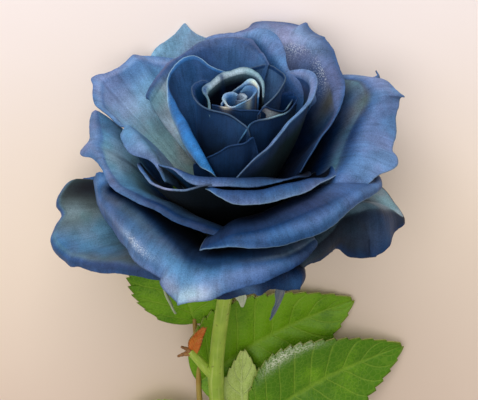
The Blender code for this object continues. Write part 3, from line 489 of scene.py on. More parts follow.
# These stops and patches paint light and shade as well as dye: most night, ink, navy and pine
# in them is painted shade deep in the flower and in the gaps between petals, and most white,
# pearl, cream, ice and lavender patches are painted highlights.
LOOKS = dict(
    left_low=dict(
        stops=[(0, "pine"), (0.6, "pine"), (0.8, "sage"), (0.95, "sage"), (1.2, "teal"),
               (1.45, "indigo"), (2, "indigo")],
        patches=[(-0.48, 0.85, 0.24, 0.38, "night", 1.0), (-0.26, 0.95, 0.07, 0.1, "mist", 0.5),
                 (0.05, 1.05, 0.16, 0.2, "azure", 0.6), (0.3, 0.85, 0.25, 0.15, "azure", 0.5),
                 (0.6, 1.45, 0.35, 0.5, "plum", 0.8), (0.0, 0.7, 0.2, 0.15, "sky", 0.5)],
    ),
    right_low=dict(
        stops=[(0, "night"), (0.6, "night"), (0.8, "pine"), (0.93, "teal"), (0.99, "teal"),
               (1.05, "night"), (1.7, "night"), (2, "navy")],
        patches=[(0.45, 0.9, 0.35, 0.16, "ice", 1.0), (-0.5, 0.85, 0.4, 0.3, "night", 0.8),
                 (0.12, 1.6, 0.22, 0.5, "dusk", 0.9), (0.0, 1.5, 0.45, 0.4, "slate", 0.4),
                 (-0.9, 1.6, 0.4, 0.6, "slate", 0.7)],
    ),
    under_front=dict(
        stops=[(0, "night"), (1.0, "night"), (1.2, "ink"), (2, "navy")],
        patches=[(-0.35, 1.6, 0.2, 0.6, "violet", 0.9), (0.4, 1.7, 0.2, 0.4, "indigo", 0.7)],
    ),
    back_tip=dict(
        stops=[(0, "moss"), (0.5, "teal"), (0.8, "sky"), (0.95, "light"), (1.15, "light"),
               (2, "light")],
    ),
    back_right_low=dict(stops=OUTER),
    front=dict(
        stops=[(0, "night"), (0.95, "night"), (1.08, "ink"), (1.2, "navy"), (1.4, "indigo"),
               (1.6, "violet"), (2, "indigo")],
        patches=[(-0.45, 1.68, 0.2, 0.09, "lavender", 0.7), (0.1, 1.85, 0.14, 0.18, "white", 0.55),
                 (0.0, 1.5, 0.35, 0.3, "sky", 0.6), (0.95, 1.6, 0.45, 0.8, "dusk", 0.7),
                 (0.8, 1.97, 0.25, 0.14, "navy", 0.8), (-0.4, 1.45, 0.25, 0.2, "slate", 0.35),
                 (-0.4, 1.95, 0.25, 0.12, "lilac", 0.5), (0.85, 1.1, 0.3, 0.17, "light", 0.9),
                 (0.45, 0.98, 0.35, 0.16, "dusk", 0.8), (-0.6, 1.27, 0.5, 0.14, "slate", 0.8)],
        gloss=[(-0.42, 1.68, 0.12, 0.08, 1.0)],
    ),
    right=dict(
        stops=[(0, "night"), (0.7, "ink"), (0.85, "navy"), (0.93, "slate"), (1.0, "teal"),
               (1.06, "slate"), (1.2, "indigo"), (1.4, "violet"), (2, "violet")],
        patches=[(0.5, 1.6, 0.3, 0.4, "lilac", 0.6), (-0.4, 0.85, 0.3, 0.12, "ink", 0.8),
                 (-0.8, 1.6, 0.25, 0.5, "azure", 0.4), (-0.1, 1.1, 0.4, 0.16, "navy", 0.95),
                 (0.42, 0.9, 0.14, 0.12, "indigo", 0.6), (0.33, 1.03, 0.14, 0.16, "olive", 0.8),
                 (-0.4, 1.8, 0.3, 0.35, "lilac", 0.7)],
        edge=0.3,
    ),
    back_right=dict(
        stops=[(0, "night"), (0.75, "ink"), (0.93, "dusk"), (1.03, "grape"), (1.6, "grape"),
               (2, "indigo")],
        patches=[(0.5, 0.85, 0.2, 0.25, "indigo", 0.9), (0.45, 1.25, 0.3, 0.4, "lavender", 0.6),
                 (-0.25, 0.98, 0.12, 0.16, "olive", 1.0), (-0.95, 1.3, 0.35, 1.0, "ink", 1.0)],
        gloss=[(0.36, 1.05, 0.12, 0.08, 0.9), (0.0, 1.05, 0.12, 0.1, 0.9)],
    ),
    back_left=dict(
        stops=[(0, "moss"), (0.2, "moss"), (0.4, "pale"), (0.6, "mist"), (0.8, "light"),
               (0.97, "violet"), (1.2, "violet"), (1.5, "lilac"), (2, "violet")],
        patches=[(0.8, 1.2, 0.3, 0.4, "teal", 0.8), (-0.8, 0.9, 0.2, 0.2, "sky", 0.6),
                 (-0.2, 0.35, 0.5, 0.25, "ice", 0.6), (0.0, 0.9, 0.15, 0.12, "light", 0.7),
                 (0.5, 1.6, 0.25, 0.3, "sky", 0.7), (-0.2, 1.0, 0.2, 0.2, "lilac", 0.6)],
    ),
    left=dict(
        stops=[(0, "night"), (0.55, "dusk"), (0.75, "teal"), (0.95, "sky"), (1.15, "violet"),
               (1.5, "heather"), (2, "violet")],
        patches=[(0.75, 1.3, 0.6, 1.5, "ink", 1.0), (0.28, 1.4, 0.28, 0.35, "navy", 1.0),
                 (0.45, 1.85, 0.2, 0.3, "navy", 0.6), (-0.35, 0.95, 0.2, 0.15, "mist", 0.8)],
    ),
    front_right=dict(
        stops=[(0, "night"), (0.8, "ink"), (0.92, "plum"), (1.1, "navy"), (1.25, "dusk"),
               (1.5, "indigo"), (2, "dusk")],
        patches=[(0.45, 1.0, 0.22, 0.25, "indigo", 0.9), (-0.6, 0.85, 0.4, 0.15, "night", 0.9),
                 (0.7, 1.5, 0.4, 0.4, "violet", 0.7), (-0.9, 1.4, 0.5, 0.5, "navy", 0.9),
                 (0.1, 1.55, 0.45, 0.2, "violet", 0.7), (-0.8, 1.9, 0.3, 0.15, "violet", 0.8),
                 (0.3, 1.95, 0.35, 0.12, "violet", 0.6)],
        edge=0.3,
    ),
    back=dict(
        stops=[(0, "pine"), (0.6, "navy"), (0.85, "dusk"), (1.1, "dusk"), (1.4, "dusk"), (2, "grape")],
        patches=[(0.86, 0.66, 0.22, 0.25, "pearl", 1.0), (0.8, 0.92, 0.2, 0.12, "ice", 0.9),
                 (-0.8, 1.1, 0.2, 0.25, "violet", 0.7), (0.9, 1.1, 0.2, 0.3, "mist", 0.6),
                 (0.0, 1.5, 0.3, 0.3, "lilac", 0.3), (-0.4, 1.1, 0.3, 0.3, "violet", 0.5)],
    ),
    back_right_inner=dict(
        stops=[(0, "night"), (0.6, "dusk"), (1.1, "indigo"), (1.4, "violet"), (2, "violet")],
        patches=[(0.4, 1.6, 0.4, 0.4, "lilac", 0.7), (-0.8, 1.5, 0.25, 0.4, "navy", 0.7)],
    ),
    front_third=dict(stops=DEEP, patches=[(0.1, 2.0, 0.5, 0.25, "lilac", 0.8)], edge=0.4),
    front_left_inner=dict(
        stops=[(0, "night"), (1.2, "night"), (1.5, "indigo"), (2, "lilac")],
        patches=[(0.0, 1.85, 0.4, 0.25, "lavender", 0.6), (-0.7, 1.7, 0.3, 0.5, "indigo", 0.8),
                 (0.6, 1.5, 0.5, 1.0, "night", 1.0)],
    ),
    front_inner=dict(
        stops=DEEP,
        patches=[(-0.15, 2.0, 0.5, 0.25, "lilac", 1.0), (0.9, 1.5, 0.25, 1, "night", 1.0),
                 (0.5, 1.45, 0.35, 0.25, "night", 0.9), (-0.68, 0.75, 0.12, 0.3, "flame", 0.9),
                 (-0.86, 0.8, 0.08, 0.4, "olive", 0.8)],
    ),
    left_inner=dict(
        stops=[(0, "night"), (0.6, "navy"), (0.8, "dusk"), (1.0, "dusk"), (1.1, "dusk"),
               (1.35, "azure"), (1.8, "azure"), (2, "sky")],
        patches=[(0.4, 1.95, 0.5, 0.2, "light", 0.6), (-0.5, 1.5, 0.4, 0.5, "indigo", 0.6),
                 (0.9, 1.75, 0.3, 0.35, "flame", 0.75), (-0.4, 0.82, 0.3, 0.3, "indigo", 0.9)],
        edge=0.5,
    ),
    right_inner=dict(
        stops=[(0, "pine"), (0.85, "pine"), (0.95, "plum"), (1.0, "dusk"), (1.12, "violet"),
               (1.5, "lilac"), (2, "violet")],
        patches=[(-0.9, 1.4, 0.4, 0.8, "navy", 0.8)],
        edge=0.1,
    ),
    bud_front_low=dict(stops=BUD),
    bud_right=dict(
        stops=BUD,
        patches=[(-0.6, 1.9, 0.12, 0.3, "sky", 0.8), (0.0, 1.9, 0.2, 0.3, "ice", 0.9),
                 (0.4, 0.9, 0.2, 0.2, "slate", 0.6)],
    ),
    bud_left=dict(
        stops=BUD,
        patches=[(-0.6, 1.0, 0.2, 0.5, "azure", 0.7), (-0.85, 1.5, 0.25, 0.5, "dusk", 0.8),
                 (0.0, 0.6, 0.4, 0.2, "night", 0.9), (0.3, 1.05, 0.3, 0.2, "indigo", 0.5)],
        edge=0.1,
    ),
    bud_back=dict(stops=BUD, patches=[(0.0, 0.9, 0.6, 0.3, "violet", 0.9)], edge=0.15),
    bud_right_inner=dict(
        stops=BUD,
        patches=[(-0.52, 1.1, 0.26, 0.4, "white", 1.0), (0.15, 1.9, 0.14, 0.35, "mist", 0.7)],
    ),
    bud_arch=dict(
        stops=[(0, "night"), (0.96, "night"), (1.02, "teal"), (1.2, "ice"), (1.5, "ice"), (2, "teal")],
        patches=[(-0.55, 1.2, 0.2, 0.35, "navy", 0.7), (0.12, 1.5, 0.05, 0.6, "navy", 0.9),
                 (0.52, 1.7, 0.14, 0.35, "dusk", 0.95)],
    ),
    bud_front=dict(stops=BUD, patches=[(-0.4, 1.7, 0.14, 0.5, "cream", 0.9)]),
    heart_left=dict(
        stops=[(0, "ink"), (0.9, "dusk"), (1.2, "flame"), (2, "light")],
        patches=[(-0.5, 1.5, 0.25, 0.5, "cream", 0.9), (0.4, 1.5, 0.3, 0.6, "pine", 0.8)],
    ),
    heart_right=dict(
        stops=[(0, "ink"), (0.9, "indigo"), (1.2, "sky"), (2, "sky")],
        patches=[(0.4, 1.6, 0.3, 0.7, "indigo", 0.95), (-0.3, 1.4, 0.2, 0.6, "cream", 0.8)],
    ),
    heart_front=dict(
        stops=[(0, "ink"), (0.8, "dusk"), (1.1, "sky"), (2, "light")],
        patches=[(0.4, 1.3, 0.25, 0.7, "cream", 1.0), (-0.3, 1.2, 0.3, 0.7, "azure", 0.9)],
    ),
    heart_middle=dict(stops=BUD, patches=[(0.0, 1.4, 0.6, 0.7, "pearl", 0.9)]),
)


def soft_spots(spots, q, rows):
    """The sum of soft round spots, each with its place q and t, its half sizes and its strength."""
    total = 0 * rows[:, None] + 0 * q[None, :]
    for at_q, at_t, wide_q, wide_t, strength in spots:
        far = ((q[None, :] - at_q) / wide_q) ** 2 + ((rows[:, None] - at_t) / wide_t) ** 2
        total = total + strength * np.exp(-far)
    return np.minimum(total, 1)


def petal_tone(look, q, rows):
    """The petal's colour at each of its points, from its stops and its patches."""
    places = [stop[0] for stop in look["stops"]]
    colours = np.array([COLOURS[stop[1]] for stop in look["stops"]])
    along = [np.interp(rows, places, channel) for channel in colours.T]
    tone = np.stack(along, -1)[:, None, :] + 0 * q[None, :, None]
    # The patches lay painted shade and painted highlights into the tone, as well as dye.
    for at_q, at_t, wide_q, wide_t, colour, strength in look.get("patches", ()):
        mask = soft_spots([(at_q, at_t, wide_q, wide_t, strength)], q, rows)[..., None]
        tone = tone * (1 - mask) + mask * np.array(COLOURS[colour])
    return tone


# %% [markdown]
# ## Shader groups
#
# Grain, veins and a line along the free edge are wanted in the petals, the sepals and the leaves, so
# each is a node group with named sockets, built once. A group puts out only masks and values. The
# Principled shader stays in each material.

# %% Helpers for shader nodes
def shader_group(name, inputs, outputs):
    """An empty node group with named sockets, and its input and output nodes."""
    group = bpy.data.node_groups.new(name, "ShaderNodeTree")
    for title, kind, value in inputs:
        socket = group.interface.new_socket(title, in_out="INPUT", socket_type=kind)
        socket.default_value = value
    for title, kind in outputs:
        group.interface.new_socket(title, in_out="OUTPUT", socket_type=kind)
    start = group.nodes.new("NodeGroupInput")
    end = group.nodes.new("NodeGroupOutput")
    return group, start, end


def feed(tree, socket, value):
    """A number or a colour goes on the socket itself, and an output is linked to it."""
    if isinstance(value, (int, float)):
        socket.default_value = value
    elif isinstance(value, tuple):
        socket.default_value = (*value, 1)
    else:
        tree.links.new(value, socket)


def math(tree, operation, first, second=0.0):
    """A Math node on two outputs or numbers. Returns its output."""
    node = tree.nodes.new("ShaderNodeMath")
    node.operation = operation
    feed(tree, node.inputs[0], first)
    feed(tree, node.inputs[1], second)
    return node.outputs[0]


def plus(tree, first, second):
    """The sum of two outputs or numbers."""
    return math(tree, "ADD", first, second)


def times(tree, first, second):
    """The product of two outputs or numbers."""
    return math(tree, "MULTIPLY", first, second)


def spread(tree, value, low, high, to_low=0.0, to_high=1.0):
    """A Map Range node with smooth ends. Returns its output."""
    node = tree.nodes.new("ShaderNodeMapRange")
    node.interpolation_type = "SMOOTHSTEP"
    for socket, number in zip(node.inputs[:5], (value, low, high, to_low, to_high)):
        feed(tree, socket, number)
    return node.outputs[0]


def blend(tree, mask, first, second, mode="MIX"):
    """A colour Mix node. Returns its colour."""
    node = tree.nodes.new("ShaderNodeMix")
    node.data_type = "RGBA"
    node.blend_type = mode
    for number, value in ((0, mask), (6, first), (7, second)):
        feed(tree, node.inputs[number], value)
    return node.outputs[2]


def noise(tree, vector, scale, detail=2.0, roughness=0.5, distortion=0.0):
    """A noise texture read at this vector. Returns its value."""
    node = tree.nodes.new("ShaderNodeTexNoise")
    node.inputs["Scale"].default_value = scale
    node.inputs["Detail"].default_value = detail
    node.inputs["Roughness"].default_value = roughness
    node.inputs["Distortion"].default_value = distortion
    tree.links.new(vector, node.inputs["Vector"])
    return node.outputs["Fac"]


def object_place(tree):
    """The point on the piece, in metres."""
    return tree.nodes.new("ShaderNodeTexCoord").outputs["Object"]


def uv_parts(tree):
    """The blade's UV map, taken apart: its first output runs across and its second along."""
    uv = tree.nodes.new("ShaderNodeUVMap")
    uv.uv_map = "along"
    parts = tree.nodes.new("ShaderNodeSeparateXYZ")
    tree.links.new(uv.outputs[0], parts.inputs[0])
    return parts.outputs


def attribute(tree, name, output="Fac"):
    """A value kept at the vertices of the mesh."""
    node = tree.nodes.new("ShaderNodeAttribute")
    node.attribute_name = name
    return node.outputs[output]


# %% The grain, the veins and the edge line
def make_grain():
    """Fine grain of the skin's cells, and slower mottling, both centred on 0."""
    group, start, end = shader_group(
        "skin_grain",
        [("Grain per metre", "NodeSocketFloat", 3000.0), ("Mottle per metre", "NodeSocketFloat", 260.0)],
        [("Grain", "NodeSocketFloat"), ("Mottle", "NodeSocketFloat")],
    )
    place = object_place(group)
    for title, socket, detail in (("Grain", 0, 1.0), ("Mottle", 1, 3.0)):
        value = noise(group, place, 1.0, detail)
        group.links.new(start.outputs[socket], value.node.inputs["Scale"])
        group.links.new(plus(group, value, -0.5), end.inputs[title])
    return group


def make_streaks():
    """Streaks that run from the root to the edge of a blade, along its UV map, centred on 0."""
    group, start, end = shader_group(
        "vein_streaks",
        [("Streaks across", "NodeSocketFloat", 60.0), ("Streaks along", "NodeSocketFloat", 3.0)],
        [("Streaks", "NodeSocketFloat")],
    )
    parts = uv_parts(group)
    joined = group.nodes.new("ShaderNodeCombineXYZ")
    for side in (0, 1):
        group.links.new(times(group, parts[side], start.outputs[side]), joined.inputs[side])
    value = noise(group, joined.outputs[0], 1.0, 3.0, 0.55, 0.4)
    group.links.new(plus(group, value, -0.5), end.inputs["Streaks"])
    return group


def make_edge_line():
    """A line along the free edge, from the margin attribute, which holds the distance to it in mm."""
    group, start, end = shader_group(
        "edge_line",
        [("Width in mm", "NodeSocketFloat", 0.5)],
        [("Line", "NodeSocketFloat")],
    )
    far = attribute(group, "margin")
    group.links.new(spread(group, far, 0.0, start.outputs[0], 1.0, 0.0), end.inputs["Line"])
    return group


GRAIN = make_grain()
STREAKS = make_streaks()
EDGE_LINE = make_edge_line()
print("shader groups:", [group.name for group in (GRAIN, STREAKS, EDGE_LINE)])

# %% [markdown]
# A material starts from its Principled shader, with its constants on the shader's own sockets. The
# groups are then placed in it, and their values drive the colour, the roughness and the normal.

# %% Helpers for materials
def use_group(tree, group, **values):
    """The group placed in a material, with its own values on its inputs."""
    node = tree.nodes.new("ShaderNodeGroup")
    node.node_tree = group
    for title, value in values.items():
        node.inputs[title.replace("_", " ")].default_value = value
    return node.outputs


def new_material(name, **constants):
    """A material, its node tree and its Principled shader with these constants."""
    material = bpy.data.materials.new(name)
    material.use_nodes = True
    shader = material.node_tree.nodes["Principled BSDF"]
    for title, value in constants.items():
        shader.inputs[title.replace("_", " ")].default_value = value
    return material, material.node_tree, shader


def bump(tree, shader, height, strength, distance):
    """A Bump node that lifts the shader's normal by this height."""
    node = tree.nodes.new("ShaderNodeBump")
    node.inputs["Strength"].default_value = strength
    node.inputs["Distance"].default_value = distance
    tree.links.new(height, node.inputs["Height"])
    tree.links.new(node.outputs[0], shader.inputs["Normal"])


# %% [markdown]
# A petal's skin is covered in tiny domed cells. They scatter light like velvet at a glance and
# sparkle where a rolled margin faces the light. So the finish has a little sheen, a fine bump that
# breaks its highlights up and a grain in its colour, and the sparkle is also painted in, as white
# glints on the gloss spots. Slow stains turn the dye a little to teal or to violet. The back of a
# petal is duller and greener, and petals whose edge catches the light have a pale line painted
# there, a painted highlight.

# %% The petal finishes
GRAIN_SHOWS = 0.9
STREAKS_SHOW = 0.7
DARKEST = 0.3
STAINS_PER_METRE = 95.0
TEAL_STAIN, VIOLET_STAIN = (0.84, 1.01, 1.02), (1.10, 0.99, 1.0)
GREEN_BACK = 0.06


def petal_material(name, backside):
    """A petal's tone with grain, streaks, stains, a painted edge highlight and painted glints."""
    material, tree, shader = new_material(name, Sheen_Weight=0.01, Sheen_Roughness=0.4,
                                          Specular_IOR_Level=0.1)
    tone = attribute(tree, "tone", "Color")
    grain = use_group(tree, GRAIN)
    streaks = use_group(tree, STREAKS)["Streaks"]
    line = use_group(tree, EDGE_LINE, Width_in_mm=0.4)["Line"]
    fine = times(tree, grain["Grain"], GRAIN_SHOWS)
    slow = plus(tree, grain["Mottle"], times(tree, streaks, STREAKS_SHOW))
    bright = math(tree, "MAXIMUM", plus(tree, plus(tree, fine, slow), 1.0), DARKEST)
    shade = tree.nodes.new("ShaderNodeVectorMath")
    shade.operation = "SCALE"
    tree.links.new(tone, shade.inputs[0])
    tree.links.new(bright, shade.inputs["Scale"])
    stain = use_group(tree, GRAIN, Mottle_per_metre=STAINS_PER_METRE)["Mottle"]
    tint = blend(tree, spread(tree, stain, -0.12, 0.12), TEAL_STAIN, VIOLET_STAIN)
    colour = blend(tree, 1.0, shade.outputs[0], tint, "MULTIPLY")
    if backside:
        colour = blend(tree, GREEN_BACK, colour, COLOURS["sage"])
    # Painted highlight: a pale ice line along the free edge, as strong as the petal's edge value.
    painted_edge_light = times(tree, line, attribute(tree, "edge"))
    colour = blend(tree, painted_edge_light, colour, COLOURS["ice"])
    # Painted highlight: white glints where the gloss spots are, broken up by the grain.
    gloss = attribute(tree, "gloss")
    painted_glints = times(tree, spread(tree, grain["Grain"], 0.02, 0.16), gloss)
    colour = blend(tree, times(tree, painted_glints, 0.8), colour, COLOURS["white"])
    tree.links.new(colour, shader.inputs["Base Color"])
    rough = plus(tree, times(tree, grain["Mottle"], 0.3), 0.58 if backside else 0.5)
    rough = plus(tree, rough, times(tree, gloss, -0.25))
    tree.links.new(rough, shader.inputs["Roughness"])
    height = plus(tree, times(tree, grain["Grain"], 0.5), streaks)
    bump(tree, shader, height, 0.5, 0.25 * MM)
    return material


petal_back = petal_material("petal_back", True)
petal_face = petal_material("petal_face", False)

# %% [markdown]
# The wide outer petals get a grid of 110 columns, with 44 rows in the body and 26 in the lip. The
# small inner ones need fewer.

# %% Every petal
PETAL_THICK = 0.42
BIG_REACH = 27.0
BIG_GRID = (110, 44, 26)
SMALL_GRID = (72, 34, 14)

for number, (name, petal) in enumerate(PETALS.items()):
    reach = max(point[1] for point in petal["crest"])
    grid = BIG_GRID if reach > BIG_REACH else SMALL_GRID
    surface, rows, q, margin = petal_surface(petal, *grid, seed=10 * number)
    tone = petal_tone(LOOKS[name], q, rows)
    # The edge value paints a pale highlight along the free edge, and the gloss spots get painted glints.
    edge = np.full(margin.shape, LOOKS[name].get("edge", 0))
    gloss = soft_spots(LOOKS[name].get("gloss", ()), q, rows)
    piece = blade("petal_" + name, lie_down(surface), PETAL_THICK, (petal_back, petal_face),
                  tone=tone, margin=margin, edge=edge, gloss=gloss)
    keep(piece, "bloom")
print(len(pieces), "petals made")

# %% [markdown]
# ## Rods: stem, stalks and hip
#
# A rod is a grid too. Its columns go round a line in space and its rows run along it, with the radius
# free at every row. The first and last row close to a point, the seam is merged, and the rod is shut.
# The stem swells where a leaf grows from it, and it is cut at a slant, as florists do it, with
# `bmesh.ops.bisect_plane`. The cut shows the pale wood.

# %% Rods round a line
def rod_points(rows, around, ends=0.35):
    """Rings round a line of x, y, z and radius, with rounded ends that close to a point."""
    rows = np.asarray(rows, float)
    line, radius = rows[:, :3], rows[:, 3]
    ahead = np.gradient(line, axis=0)
    ahead /= np.linalg.norm(ahead, axis=1)[:, None]
    side = np.cross(ahead, [0, 0, 1.0])
    side /= np.linalg.norm(side, axis=1)[:, None]
    over = np.cross(side, ahead)
    rings = []
    first, last = (line[0], -ahead[0]), (line[-1], ahead[-1])
    turn = np.linspace(0, 2 * pi, around + 1)
    ring = np.cos(turn)[:, None], np.sin(turn)[:, None]

    def one(centre, i, size):
        return centre + size * (ring[0] * side[i] + ring[1] * over[i])

    for angle in (90, 60, 30):
        out = ends * radius[0] * sin(radians(angle))
        rings.append(one(first[0] + first[1] * out, 0, radius[0] * cos(radians(angle)) + 1e-4))
    rings += [one(line[i], i, radius[i]) for i in range(len(line))]
    for angle in (30, 60, 90):
        out = ends * radius[-1] * sin(radians(angle))
        rings.append(one(last[0] + last[1] * out, -1, radius[-1] * cos(radians(angle)) + 1e-4))
    rings = np.array(rings)
    rings[0] = rings[0].mean(0)
    rings[-1] = rings[-1].mean(0)
    return rings


def rod(name, rows, around, material):
    """A shut rod with rounded ends and one finish."""
    return finished(name, moved_grid(rod_points(rows, around), wrap=True), (material,))


# %% [markdown]
# The stem's bark is smooth and waxy, yellow-green with paler streaks along it and small brown-green
# spots. The streaks come from noise stretched along the rod's UV map. The hip, the prickles, the dry
# tips, the leaf stalks and the wood of the cut have the same finish in their own colours.

# %% Plant skins
def skin_material(name, low, high, streak, spots, roughness):
    """A plant skin: two colours mottled together, streaks along it and scattered spots."""
    material, tree, shader = new_material(name, Coat_Weight=0.08, Coat_Roughness=0.3)
    grain = use_group(tree, GRAIN, Grain_per_metre=1500.0, Mottle_per_metre=160.0)
    streaks = use_group(tree, STREAKS, Streaks_across=14.0, Streaks_along=5.0)["Streaks"]
    colour = blend(tree, spread(tree, grain["Mottle"], -0.16, 0.16), low, high)
    colour = blend(tree, spread(tree, streaks, 0.0, 0.22), colour, streak)
    dots = noise(tree, object_place(tree), 700.0, 1.0)
    colour = blend(tree, spread(tree, dots, 0.66, 0.74, 0.0, 0.7), colour, spots)
    tree.links.new(colour, shader.inputs["Base Color"])
    rough = plus(tree, times(tree, grain["Mottle"], 0.4), roughness)
    tree.links.new(rough, shader.inputs["Roughness"])
    height = plus(tree, times(tree, grain["Grain"], 0.4), streaks)
    bump(tree, shader, height, 0.35, 0.3 * MM)
    return material


SKINS = dict(
    stem_bark=dict(low=(0.29, 0.45, 0.04), high=(0.40, 0.56, 0.06),
                   streak=(0.52, 0.64, 0.15), spots=(0.20, 0.24, 0.03), roughness=0.45),
    hip_skin=dict(low=(0.22, 0.34, 0.12), high=(0.32, 0.44, 0.18),
                  streak=(0.45, 0.55, 0.30), spots=(0.20, 0.28, 0.08), roughness=0.5),
    cut_wood=dict(low=(0.45, 0.46, 0.24), high=(0.60, 0.58, 0.36),
                  streak=(0.66, 0.62, 0.42), spots=(0.30, 0.26, 0.12), roughness=0.7),
    prickle_skin=dict(low=(0.30, 0.14, 0.05), high=(0.42, 0.24, 0.08),
                      streak=(0.50, 0.36, 0.14), spots=(0.20, 0.07, 0.03), roughness=0.4),
    dry_tip_skin=dict(low=(0.20, 0.075, 0.02), high=(0.42, 0.19, 0.05),
                      streak=(0.50, 0.28, 0.10), spots=(0.10, 0.04, 0.015), roughness=0.7),
    leaf_stalk_skin=dict(low=(0.36, 0.20, 0.03), high=(0.40, 0.30, 0.05),
                         streak=(0.42, 0.28, 0.10), spots=(0.30, 0.12, 0.04), roughness=0.45),
)
skins = [skin_material(name, **look) for name, look in SKINS.items()]
bark, hip_skin, wood, prickle_skin, dry_skin, stalk_skin = skins
print("plant skins:", [skin.name for skin in skins])

# %% The stem and its cut end
STEM = [
    (0, -11.5, 26.92, 2.3), (-1.2, -19, 24.9, 2.3), (-2.9, -31, 21.6, 2.3), (-4.6, -46, 17.7, 2.35),
    (-5.4, -60, 14.4, 2.4), (-4.6, -78, 11.0, 2.5), (-2.9, -98, 7.7, 2.6), (-0.6, -122, 5.0, 2.7),
    (2.0, -148, 3.6, 2.8), (4.6, -172, 3.05, 2.9), (6.6, -190, 2.95, 2.9),
]
CUT_SLOPE = 38.0
CUT_TURN = -6.0
CUT_FROM = (6.2, -204.0, 3.0)
CUT_AHEAD = 15.0
SWELLINGS = [(-60, 0.25), (-101, 0.35), (-124, 0.3)]
SWELLING_LONG = 2.6

stem_rows = smooth_line(STEM, 150)
for at_y, swell in SWELLINGS:
    stem_rows[:, 3] += swell * np.exp(-(((stem_rows[:, 1] - at_y) / SWELLING_LONG) ** 2))
stem_grid = moved_grid(rod_points(stem_rows, 32, ends=0.02), wrap=True)
slope, turn = radians(CUT_SLOPE), radians(CUT_TURN)
cut_normal = np.array([-sin(turn) * cos(slope), cos(turn) * cos(slope), sin(slope)])
cut_point = CUT_FROM + CUT_AHEAD * cut_normal + SHIFT
everything = stem_grid.verts[:] + stem_grid.edges[:] + stem_grid.faces[:]
cut = bmesh.ops.bisect_plane(stem_grid, geom=everything, plane_co=cut_point * MM,
                             plane_no=cut_normal, clear_inner=True)
cut_edges = [item for item in cut["geom_cut"] if isinstance(item, bmesh.types.BMEdge)]
capped = bmesh.ops.triangle_fill(stem_grid, edges=cut_edges, use_beauty=True)
for face in capped["geom"]:
    if isinstance(face, bmesh.types.BMFace):
        face.material_index = 1
bmesh.ops.recalc_face_normals(stem_grid, faces=stem_grid.faces[:])
stem = keep(finished("stem_bark", stem_grid, (bark, wood)), "stem")
low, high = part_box("stem")
mine = np.array([vertex.co for vertex in stem.data.vertices])
print("lowest corner of the stem against the solid's, mm:", np.round((mine.min(0) - low) / MM, 2))
print("highest corner, mm:", np.round((mine.max(0) - high) / MM, 2))

# %% [markdown]
# Prickles are short rods that thin out fast and hook back along the stem. A prickle's row has its
# place along the stem and its angle round it.

# %% The prickles
PRICKLES = [(-112, 60), (-131, 175), (-150, 15), (-166, 120)]
PRICKLE_REACH = (-1.0, 0.6, 2.2, 4.6)
PRICKLE_SIZE = (1.9, 1.178, 0.646, 0.3)
PRICKLE_LEAN = -0.25
PRICKLE_HOOK = 1.2

for y, around in PRICKLES:
    near = stem_rows[np.argmin(np.abs(stem_rows[:, 1] - y))]
    out = np.array([cos(radians(around)), PRICKLE_LEAN, sin(radians(around))])
    rows = np.array([near[:3] + out * (near[3] + reach) for reach in PRICKLE_REACH])
    rows[-1, 1] -= PRICKLE_HOOK
    line = smooth_line(np.column_stack([rows, PRICKLE_SIZE]), 16)
    keep(rod(f"prickle_{-y}", line, 14, prickle_skin), "stem")
print(len(PRICKLES), "prickles")

# %% [markdown]
# ## Hip and sepals
#
# Under the petals sits the hip, and five sepals fold back from its rim along the stem. The petals
# stand on a low dome on the hip, which shuts the bloom from below. Both are turned like a bead: a
# profile of reach and height goes once round the flower's axis.

# %% The hip and the seat of the petals
HIP = [
    (0, 0), (8.2, 0), (8.3, -1.2), (7.4, -3.6), (6.3, -6.2),
    (4.4, -8.8), (2.9, -10.6), (2.6, -11.6), (0, -11.6),
]
PETAL_SEAT = [(0, 6.0), (4, 5.6), (6.5, 4.4), (8.2, 2.4), (8.6, 0.9), (8.2, 0.35), (0, 0.3)]


def turned(name, profile, count, material):
    """A profile of reach and height turned about the flower's axis, smooth between its points."""
    line = smooth_line([(reach, 0, height) for reach, height in profile], count)
    reach, height = np.maximum(line[:, :1], 0), line[:, 2:]
    turn = np.linspace(0, 2 * pi, 49)
    rings = np.stack([reach * np.cos(turn), reach * np.sin(turn), height + 0 * turn], -1)
    rings[0] = rings[0].mean(0)
    rings[-1] = rings[-1].mean(0)
    return finished(name, moved_grid(lie_down(rings), wrap=True), (material,))


keep(turned("hip", HIP, 40, hip_skin), "calyx")
keep(turned("petal_seat", PETAL_SEAT, 30, hip_skin), "bloom")
print("turned:", pieces[-2].name, "and", pieces[-1].name)

# %% [markdown]
# A sepal is a long hollow blade with a fringe of fine lobes and a tip that is drawn out. Its inner
# side is pale and felted, which is why the folded ones look whitish. One sepal took up dye and is
# dark blue, more so towards its tip. A sepal's row has its bearing, its length against the others and
# the degrees it twists round the stem.

# %% The sepals
SEPALS = [(334, 1.1, -16), (262, 0.8, 22), (190, 1.35, -6), (118, 0.9, -6), (46, 0.85, 6)]
SEPAL_LINE = [(5.6, -2.6), (16.5, -1.6), (20.0, -12.0), (14.5, -25.5)]
DYED_SEPAL = 334
SEPAL_WIDE = 3.9
SEPAL_LONG = 28
SEPAL_THICK = 0.6
SEPAL_EDGE = (0.62, 0.68, 0.52)


